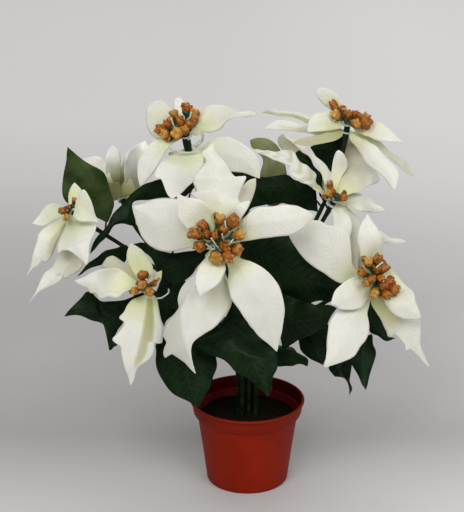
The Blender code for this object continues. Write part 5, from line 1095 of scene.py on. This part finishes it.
# ------------------------------------------------------------------ flower centres
# seen buds: place of the kernel's middle, its width and height in the view, lean of its top, gold
BUDS = {
    "front": [(196.5, 234, 10, 12, -4, 0, .2), (204, 226, 8, 10, 5, 0, .1), (208, 235, 6.5, 10, 0, 0, .0), (215.5, 237, 7, 10, -2, 0, .0),
              (200.5, 246, 10, 9, -6, 0, .1), (220, 219.5, 9, 7, 0, 0, .6), (232, 222, 10, 13, 0, 0, .1), (224, 229, 9, 8, -6, 0, .1),
              (237.5, 235, 10, 11, 4, 0, .7), (224.5, 246, 8, 10, 0, 0, .0), (236.5, 249, 10, 9, 5, 0, .2), (216, 256.5, 12, 8, -7, 0, .4),
              (227.5, 256, 11, 10, 2, 0, .1)],
    "upper_left": [(161.5, 130, 9, 10, -7, 0, .2), (165, 134.5, 9, 7, -5, 0, .6), (167.5, 126, 6.5, 9, -1, 0, .1), (174.5, 114.5, 8, 7, -3, 0, .8),
                   (181, 123.5, 7, 12, 0, 0, .1), (186, 108.5, 8.5, 8.5, 0, 0, .1), (194, 114, 8, 8, 3, 0, .4), (193.5, 121, 8, 9, 4, 0, .2),
                   (189, 126, 8, 9, 3, 0, .1), (184.5, 130.5, 8, 9, 1, 0, .2), (177.5, 133.5, 11, 8, -2, 0, .6), (171, 121, 6, 7, -2, 0, .3)],
    "upper_right": [(334.5, 106.5, 7.5, 10, -3, 0, .1), (336, 115.5, 8, 9, -2, 0, .9), (343, 110.5, 8, 7, 0, 0, .1), (347.5, 115.5, 8.5, 8, 1, 0, .0),
                    (355.5, 116, 6, 8, 1, 0, .0), (364.5, 121.5, 11, 11, 6, 0, .1), (355.5, 123.5, 8.5, 7, 2, 0, .3), (361, 119, 7, 8, 3, 0, .0)],
    "mid_right": [(330.5, 186, 5, 8.5, -1, 0, .4), (329, 194, 6.5, 8, 0, 0, .7), (333, 193, 5, 9, 2, 0, .0), (324.5, 196.5, 4, 6, -2, 0, .1),
                  (342.5, 197.5, 7.5, 8, 3, 0, .1)],
    "lower_right": [(377.5, 260.5, 8.5, 11, 1, 0, .1), (368.5, 263, 9, 8, -2, 0, .6), (376.5, 269.5, 7.5, 7.5, 1, 0, .1), (383, 268.5, 8, 9, 5, 0, .1),
                    (362, 273, 7, 11, -3, 0, .2), (366.5, 283, 6.5, 11, -3, 0, .3), (372, 279, 7.5, 8, 0, 0, .1), (379.5, 278.5, 7, 9, 1, 0, .0),
                    (388, 281.5, 9.5, 10, 3, 0, .0), (383, 286, 7.5, 8.5, 1, 0, .0), (393.5, 289.5, 10, 8, 8, 0, .1), (374, 292, 8, 8, -3, 0, .7),
                    (386, 293.5, 8, 8, 3, 0, .1)],
    "mid_left": [(74.2, 200.5, 4.5, 6.5, 2, 0, .4), (62.5, 211, 5.5, 7, -4, 0, .1), (67, 216.5, 5.5, 3.5, -2, 0, .5), (69, 207, 3.5, 5, -1, 0, .0)],
    "lower_left": [(143.5, 275.5, 8.5, 7.5, -5, 0, .1), (142.5, 285, 8.5, 5.5, -5, 0, .2), (135, 291, 7, 6, -6, 0, .6), (149, 291.5, 7.5, 8, 1, 0, .3),
                   (153, 283.5, 5, 9, 2, 0, .0)],
}
# clear strips among the buds: places of both ends and of the middle in the view
STRIPS = {
    "front": [[(206, 244), (212, 249), (219, 252)], [(225, 221), (226, 227), (229, 232)], [(228, 246), (231, 242), (235, 237)], [(211, 238), (216, 245), (222, 252)], [(222, 234), (223, 238), (224, 240)]],
    "upper_left": [[(170, 148.5), (176, 151.3), (188, 152.5), (199, 151.5)], [(194, 133), (201, 134), (203.5, 138), (201, 143), (196, 147)], [(171, 118), (174, 126), (181, 133)], [(191, 112), (190, 117), (187, 120)], [(199, 125), (194, 132), (188, 140)], [(203, 131), (203, 137), (194, 146)]],
    "upper_right": [[(353, 114), (351, 120), (347, 125)], [(341, 117), (341, 121), (344, 124)]],
    "lower_right": [[(376, 268), (379, 265), (383, 262)], [(383, 282), (385, 278), (388, 275)]],
    "mid_right": [[(332, 190), (331, 194), (334, 200)]],
    "lower_left": [[(146, 279), (148, 282), (150, 286)], [(154, 298.5), (161, 298), (166, 295), (169, 292), (168.5, 289)]],
}


def kernel(shell, centre, axis, width, height, rng, gold):
    """Rough bead that opens in a few lobes at its top."""
    x = unit(np.cross(axis, [0.31, 0.17, 0.93]))
    y = np.cross(axis, x)
    rings, cols = 12, 18
    lobes = int(rng.integers(4, 6))
    ph = rng.uniform(0, 2 * pi)
    a = np.linspace(0, 2 * pi, cols, endpoint=False)
    prof_h = np.array([-.52, -.46, -.34, -.18, .0, .18, .32, .42, .50, .50, .44, .40])
    prof_r = np.array([.20, .38, .62, .84, .98, 1.0, .94, .84, .66, .46, .28, .10])
    verts = []
    for k in range(rings):
        lob = np.cos(lobes * a + ph)
        up = smooth(np.array([prof_h[k]]), -.1, .5)[0]
        rr = prof_r[k] * (1 + (0.13 * lob + 0.05 * np.cos(2 * a + ph * 2)) * up + rng.normal(0, 0.035, cols))
        hh = prof_h[k] + (0.09 * lob * up + rng.normal(0, 0.02, cols)) * (prof_r[k] > .3)
        verts.append(centre + (np.cos(a) * rr)[:, None] * x * width / 2 + (np.sin(a) * rr)[:, None] * y * width / 2 + hh[:, None] * axis * height)
    verts = np.concatenate(verts + [(centre - axis * height * .53)[None], (centre + axis * height * .38)[None]])
    push = np.array([noise.noise_vector(Vector(v) * 210.0) for v in verts])
    fine = np.array([noise.noise_vector(Vector(v) * 520.0) for v in verts])
    verts = verts + push * 0.00125 + fine * 0.00055
    faces = []
    for k in range(rings - 1):
        for j in range(cols):
            p, q = k * cols + j, k * cols + (j + 1) % cols
            faces.append((p, q, q + cols, p + cols))
    for j in range(cols):
        faces.append(((j + 1) % cols, j, rings * cols))
        faces.append(((rings - 1) * cols + j, (rings - 1) * cols + (j + 1) % cols, rings * cols + 1))
    foot = np.concatenate([np.repeat(smooth(-prof_h, .30, .50), cols), [1.0, 0.0]])
    top = np.concatenate([np.repeat(smooth(prof_h, .30, .50), cols), [0.0, 1.0]])
    shell.add(verts, faces, dict(gold=np.clip(gold * (0.45 + 0.55 * top) + 0.12 * top, 0, 1), foot=foot * 0.7))


def cup(shell, centre, axis, width, depth, rng):
    """Green cup that holds a kernel's foot, its edge in small points."""
    x = unit(np.cross(axis, [0.31, 0.17, 0.93]))
    y = np.cross(axis, x)
    cols = 20
    a = np.linspace(0, 2 * pi, cols, endpoint=False)
    pts = 0.16 * np.cos(5 * a + rng.uniform(0, 6))
    outer = [(-1.0, .22), (-.80, .42), (-.45, .74), (.0, 1.0), (.32, 1.08)]
    inner = [(.30, .98), (.0, .86), (-.40, .55), (-.62, .10)]
    verts = []
    for k, (h, r) in enumerate(outer + inner):
        lift = pts * (1.0 if k in (4, 5) else 0.3 if k in (3, 6) else 0)
        verts.append(centre + (np.cos(a) * r * width / 2)[:, None] * x + (np.sin(a) * r * width / 2)[:, None] * y + ((h + lift) * depth)[:, None] * axis)
    verts = np.concatenate(verts + [(centre - axis * depth * 1.02)[None], (centre - axis * depth * .62)[None]])
    m = len(outer) + len(inner)
    faces = []
    for k in range(m - 1):
        for j in range(cols):
            p, q = k * cols + j, k * cols + (j + 1) % cols
            faces.append((p, q, q + cols, p + cols))
    for j in range(cols):
        faces.append(((j + 1) % cols, j, m * cols))
        faces.append(((m - 1) * cols + j, (m - 1) * cols + (j + 1) % cols, m * cols + 1))
    shell.add(verts, faces)


def head_sheets(head):
    """Search tree over every bract of one head."""
    verts, faces = [], []
    for o in bpy.data.objects:
        if o.type == "MESH" and o.name.startswith(("bract_" + head + "_", "upper_bracts_" + head, "lower_bracts_" + head)):
            base = len(verts)
            verts += [v.co.copy() for v in o.data.vertices]
            faces += [[base + k for k in f.vertices] for f in o.data.polygons]
    return BVHTree.FromPolygons(verts, faces) if faces else None


def clear_of(sheets, p, foot, f, width, height):
    """Moves a bud towards the camera until neither it nor its cup cuts a bract."""
    if sheets is None:
        return p
    toward = unit(VIEW_FROM - p)
    for step in range(15):
        q = p + toward * 0.0009 * step
        axis = unit(0.75 * unit(q - foot) + 0.25 * f)
        near = [sheets.find_nearest(Vector(q + axis * height * lift))[3] for lift in (.25, .0, -.25, -.5)]
        if min(near[0], near[1], near[2]) > width * 0.5 + 0.0006 and near[3] > width * 0.40:
            return q
    return p


def build_buds():
    for head in HEADS:
        sheets = head_sheets(head)
        c, f = head_frame(head)
        ex = unit(np.cross([0.0, 0.0, 1.0], f))
        ey = np.cross(f, ex)
        rng = np.random.default_rng(seed_of("buds" + head))
        foot = c + f * (LAYER_SHIFT + 0.0020)
        items = []
        if head in BUDS:
            mu = sum(b[0] for b in BUDS[head]) / len(BUDS[head])
            mv = sum(b[1] for b in BUDS[head]) / len(BUDS[head])
            for u, v, w, h, lean, _, gold in BUDS[head]:
                sight = at(u, v, c[1]) - VIEW_FROM
                d = unit(sight)
                mid = c + f * 0.0135
                den = float(d @ f)
                k = float((mid - VIEW_FROM) @ f) / den if abs(den) > 0.2 else float((mid - VIEW_FROM) @ d)
                p = VIEW_FROM + d * k
                y = float(np.clip(p[1], mid[1] - 0.015, mid[1] + 0.015))
                p = at(u, v, y)
                items.append((clear_of(sheets, p, foot, f, w * PX * 1.08, h * PX * 1.16), w * PX * 1.08, h * PX * 1.16, gold))
                small = at(u + rng.uniform(-5, 5), v + rng.uniform(-4.5, 4.5), y + 0.0030)
                items.append((clear_of(sheets, small, foot, f, w * PX * 0.62, h * PX * 0.72), w * PX * 0.62, h * PX * 0.72, float(rng.choice([0.0, 0.0, 0.1, 0.5]))))
        else:
            count = 5 if head == "back_left" else 8
            for k in range(count):
                a = 2 * pi * k / max(1, count - 2) + 0.5
                r = rng.uniform(.010, .0155) if k < count - 2 else rng.uniform(.002, .005)
                p = c + f * rng.uniform(.0125, .0175) + (ex * cos(a) + ey * sin(a)) * r
                items.append((p, rng.uniform(.0065, .0095), rng.uniform(.008, .0115), rng.choice([0.0, .1, .2, .6])))
        kernels, green, clear = Shell(), Shell(), Shell()
        tube(green, np.array([c + f * .001, c + f * .004, c + f * .007, foot + f * .004]), np.array([.0023, .0030, .0042, .0022]), 16)
        for p, w, h, gold in items:
            axis = unit(0.75 * unit(p - foot) + 0.25 * f)
            kernel(kernels, p, axis, w, h, rng, gold)
            low = p - axis * h * 0.42
            cup(green, low, axis, w * 0.80, h * 0.42, rng)
            a0 = low - axis * h * 0.40
            bend = (foot + a0) / 2 + f * 0.0012
            line = track([foot, bend, a0], np.linspace(0, 1, 8))
            tube(green, line, np.linspace(.0009, .0012, 8), 8)
        for strip in STRIPS.get(head, []):
            pts = []
            for q, (u, v) in enumerate(strip):
                y = c[1] + f[1] * (0.017 - 0.003 * q) - 0.002
                pts.append(at(u, v, y))
            line = track(pts, np.linspace(0, 1, 12))
            tube(clear, line, np.full(12, 0.00075), 8)
        kernels.object("flower_buds_" + head, BUD, slot="bud", replaces=("buds_" + head,))
        green.object("bud_cups_" + head, CUP, slot="stem")
        if clear.count:
            clear.object("bud_strips_" + head, CLEAR, slot="bud")


# ------------------------------------------------------------------ pot and filler
def lathe(shell, profile, steps):
    """Closed solid of revolution whose profile starts and ends on the axis."""
    inner = profile[1:-1]
    m = len(inner)
    verts = [(0, 0, profile[0][1])]
    for i in range(steps):
        a = 2 * pi * i / steps
        verts += [(r * cos(a), r * sin(a), z) for r, z in inner]
    verts.append((0, 0, profile[-1][1]))
    faces = []
    for i in range(steps):
        j = (i + 1) % steps
        faces.append((0, 1 + i * m, 1 + j * m))
        for k in range(m - 1):
            faces.append((1 + i * m + k, 1 + i * m + k + 1, 1 + j * m + k + 1, 1 + j * m + k))
        faces.append((1 + i * m + m - 1, len(verts) - 1, 1 + j * m + m - 1))
    shell.add(np.array(verts), faces)


def build_pot():
    wall = POT_WALL
    r = LIP_RADIUS
    h = POT_HEIGHT
    outer = [(r - .0016, h - .00002), (r - .0009, h - .0002), (r - .0003, h - .0007), (r, h - .0014), (r - .0001, h - .0022), (r - .0006, h - .0029),
             (r - .0015, h - .0035), (r - .0019, h - .0042), (COLLAR_TOP_RADIUS + .0002, h - .0060), (COLLAR_TOP_RADIUS, h - .0090),
             (COLLAR_TOP_RADIUS - .0004, h - .0121), (COLLAR_TOP_RADIUS - .0009, h - .0127), (COLLAR_TOP_RADIUS - .0008, h - .0135),
             (COLLAR_LOW_RADIUS + .0006, COLLAR_Z + .0020), (COLLAR_LOW_RADIUS + .0001, COLLAR_Z + .0004), (COLLAR_LOW_RADIUS - .0004, COLLAR_Z - .0008),
             (COLLAR_LOW_RADIUS - .0014, COLLAR_Z - .0017), (BODY_TOP_RADIUS + .0004, STEP_Z + .0006), (BODY_TOP_RADIUS, STEP_Z - .0008),
             (BODY_TOP_RADIUS - .0021, STEP_Z - .0160), (BODY_TOP_RADIUS - .0044, STEP_Z - .0320), (BODY_LOW_RADIUS, .0040),
             (BODY_LOW_RADIUS - .0003, .0018), (BODY_LOW_RADIUS - .0010, .0006), (FOOT_RADIUS, .0), (.030, .0), (.020, .0), (0.0, .0)]
    inner = [(0.0, POT_FLOOR), (.020, POT_FLOOR), (.030, POT_FLOOR), (FOOT_RADIUS - .0012, POT_FLOOR), (BODY_LOW_RADIUS - wall, .0050), (BODY_TOP_RADIUS - wall, STEP_Z + .0006),
             (COLLAR_LOW_RADIUS - wall - .0004, COLLAR_Z - .0002), (COLLAR_LOW_RADIUS - wall, COLLAR_Z + .0012), (COLLAR_TOP_RADIUS - wall - .0008, h - .0135),
             (COLLAR_TOP_RADIUS - wall, h - .0090), (r - .0034, h - .0044), (r - .0029, h - .0022), (r - .0026, h - .0008), (r - .0021, h - .0002)]
    shell = Shell()
    lathe(shell, inner + outer, 128)
    ob = shell.object("nursery_pot", POT, slot="pot", replaces=("pot",))
    cutters = []
    for k in range(DRAIN_HOLES):
        a = 2 * pi * (k + 0.5) / DRAIN_HOLES
        bm = bmesh.new()
        bmesh.ops.create_cone(bm, cap_ends=True, segments=24, radius1=DRAIN_HOLE_RADIUS, radius2=DRAIN_HOLE_RADIUS, depth=0.012)
        mesh = bpy.data.meshes.new("drain")
        bm.to_mesh(mesh)
        bm.free()
        cut = bpy.data.objects.new("drain", mesh)
        cut.location = (DRAIN_RING_RADIUS * cos(a), DRAIN_RING_RADIUS * sin(a), 0)
        bpy.context.scene.collection.objects.link(cut)
        mod = ob.modifiers.new("drain", "BOOLEAN")
        mod.operation = "DIFFERENCE"
        mod.solver = "EXACT"
        mod.object = cut
        cutters.append(cut)
    bpy.context.view_layer.update()
    dg = bpy.context.evaluated_depsgraph_get()
    mesh = bpy.data.meshes.new_from_object(ob.evaluated_get(dg))
    ob.modifiers.clear()
    ob.data = mesh
    for cut in cutters:
        bpy.data.objects.remove(cut, do_unlink=True)
    # the inner wall gets the darker copy of the pot material: painted shade inside the pot
    mesh.materials.append(POT_INSIDE_SHADED)
    for poly in mesh.polygons:
        c, n = poly.center, poly.normal
        if POT_FLOOR + 0.001 < c.z < h - 0.0006 and c.x * n.x + c.y * n.y < -0.2 * c.xy.length:
            poly.material_index = 1
    # the rolled lip and the steps keep crisp edges
    mesh.polygons.foreach_set("use_smooth", [True] * len(mesh.polygons))
    mesh.set_sharp_from_angle(angle=radians(50))
    return inner


def build_soil(inner):
    def wall_at(z):
        pts = inner[1:]
        return float(np.interp(z, [q[1] for q in pts], [q[0] for q in pts]))
    nr, na = 46, 150
    verts, faces = [], []
    edge = wall_at(SOIL_TOP) - 0.0004
    for i in range(1, nr + 1):
        r = edge * i / nr
        for j in range(na):
            a = 2 * pi * j / na
            x, y = r * cos(a), r * sin(a)
            z = SOIL_TOP + SOIL_CROWN * max(0.0, 1 - (r / 0.044) ** 2)
            v = Vector((x, y, 0.3))
            z += 0.0011 * noise.noise(v * 95) + 0.0010 * noise.noise(v * 300) + 0.0007 * noise.noise(v * 720) - 0.0006
            if i == nr:
                z = min(z, SOIL_TOP)
            verts.append((x, y, z))
    top = len(verts)
    verts.append((0, 0, SOIL_TOP + SOIL_CROWN))
    low = [(wall_at(z) - 0.0004, z) for z in (0.0500, 0.0300, 0.0060)] + [(FOOT_RADIUS - 0.0020, POT_FLOOR + 0.0003)]
    first = len(verts)
    for r, z in low:
        for j in range(na):
            a = 2 * pi * j / na
            verts.append((r * cos(a), r * sin(a), z))
    verts.append((0, 0, POT_FLOOR + 0.0003))
    for j in range(na):
        k = (j + 1) % na
        faces.append((top, j, k))
        for i in range(nr - 1):
            faces.append((i * na + j, (i + 1) * na + j, (i + 1) * na + k, i * na + k))
        faces.append(((nr - 1) * na + j, first + j, first + k, (nr - 1) * na + k))
        for i in range(len(low) - 1):
            faces.append((first + i * na + j, first + (i + 1) * na + j, first + (i + 1) * na + k, first + i * na + k))
        e = first + (len(low) - 1) * na
        faces.append((e + j, len(verts) - 1, e + k))
    shell = Shell()
    shell.add(np.array(verts), faces)
    shell.object("pot_filler", SOIL, slot="filler", replaces=("soil",))


build_bracts()
build_stems()
build_leaves()
build_buds()
build_soil(build_pot())

# ------------------------------------------------------------------ floor, light, camera
def floor():
    m, t, p = new_material("studio_floor")
    sep = t.nodes.new("ShaderNodeSeparateXYZ")
    t.links.new(t.nodes.new("ShaderNodeTexCoord").outputs["Object"], sep.inputs[0])
    # painted light and shade: the floor's tone rises and falls in bands along Y, standing in for the studio's light
    # falloff
    r = t.nodes.new("ShaderNodeValToRGB")
    lo, hi = -0.2, 2.6
    stops = FLOOR_PAINTED_LIGHT
    els = r.color_ramp.elements
    while len(els) < len(stops):
        els.new(0.5)
    for e, (y, g) in zip(els, stops):
        e.position = (y - lo) / (hi - lo)
        g = g * 1.19
        e.color = (g * 1.0, g * 0.985, g * 0.965, 1)
    k = t.nodes.new("ShaderNodeMapRange")
    t.links.new(sep.outputs["Y"], k.inputs["Value"])
    for a, b in (("From Min", lo), ("From Max", hi), ("To Min", 0.0), ("To Max", 1.0)):
        k.inputs[a].default_value = b
    t.links.new(k.outputs[0], r.inputs[0])
    # painted shade: the floor darkens towards the left, more strongly near the plant
    side = ramp(t, sep.outputs["X"], -0.12, 0.42, 1.0, 0.0)
    t.links.new(blend(t, math(t, "MULTIPLY", side, ramp(t, sep.outputs["Y"], 0.5, 1.4, 0.20, 0.09)), r.outputs["Color"], (0.0, 0.0, 0.0)), p.inputs["Base Color"])
    p.inputs["Roughness"].default_value = 0.85
    p.inputs["Specular IOR Level"].default_value = 0.15
    bpy.ops.mesh.primitive_plane_add(size=24.0, location=(0, 0, 0))
    ob = bpy.context.object
    ob.name = "floor"
    ob.data.materials.append(m)


# floor tone by depth (Y, tone): painted light and shade in bands
FLOOR_PAINTED_LIGHT = [(-0.2, .57), (-0.06, .52), (0.01, .445), (0.09, .38), (0.20, .44), (0.30, .47), (0.48, .445), (0.70, .49), (0.98, .58), (1.33, .615), (2.4, .58)]
floor()


def lamp(name, place, target, size, power, colour=(1.0, 0.985, 0.96)):
    d = bpy.data.lights.new(name, "AREA")
    d.shape = "RECTANGLE"
    d.size, d.size_y = size
    d.energy = power
    d.color = colour
    ob = bpy.data.objects.new(name, d)
    ob.location = place
    ob.rotation_euler = (Vector(target) - Vector(place)).to_track_quat("-Z", "Y").to_euler()
    bpy.context.scene.collection.objects.link(ob)


lamp("key", (-0.60, -1.60, 1.70), (0, 0, 0.2), (1.3, 1.0), 29, (1.0, 1.0, 0.995))
lamp("fill", (1.10, -1.50, 1.55), (0, 0, 0.2), (1.3, 1.1), 22, (1.0, 1.0, 0.995))
lamp("top", (0.0, 0.3, 2.3), (0, 0.1, 0.1), (1.6, 1.2), 7, (1.0, 1.0, 1.0))
lamp("far", (0.0, 2.7, 2.3), (0, 2.3, 0), (4.0, 1.6), 50, (1.0, 1.0, 1.0))
world = bpy.context.scene.world or bpy.data.worlds.new("world")
bpy.context.scene.world = world
world.use_nodes = True
bg = world.node_tree.nodes.get("Background") or world.node_tree.nodes.new("ShaderNodeBackground")
bg.inputs["Color"].default_value = (0.86, 0.86, 0.87, 1)
bg.inputs["Strength"].default_value = 0.26

cam = bpy.data.cameras.new("camera")
cam.lens = 1638.0 / 512.0 * 36.0
cam.sensor_width = 36.0
cam.clip_start, cam.clip_end = 0.05, 60.0
eye = bpy.data.objects.new("camera", cam)
eye.location = (-0.0151, -1.4553, 0.7646)
eye.rotation_euler = (radians(69.9), 0, 0)
bpy.context.scene.collection.objects.link(eye)
bpy.context.scene.camera = eye
bpy.context.scene.view_settings.view_transform = "Standard"
bpy.context.scene.view_settings.look = "None"
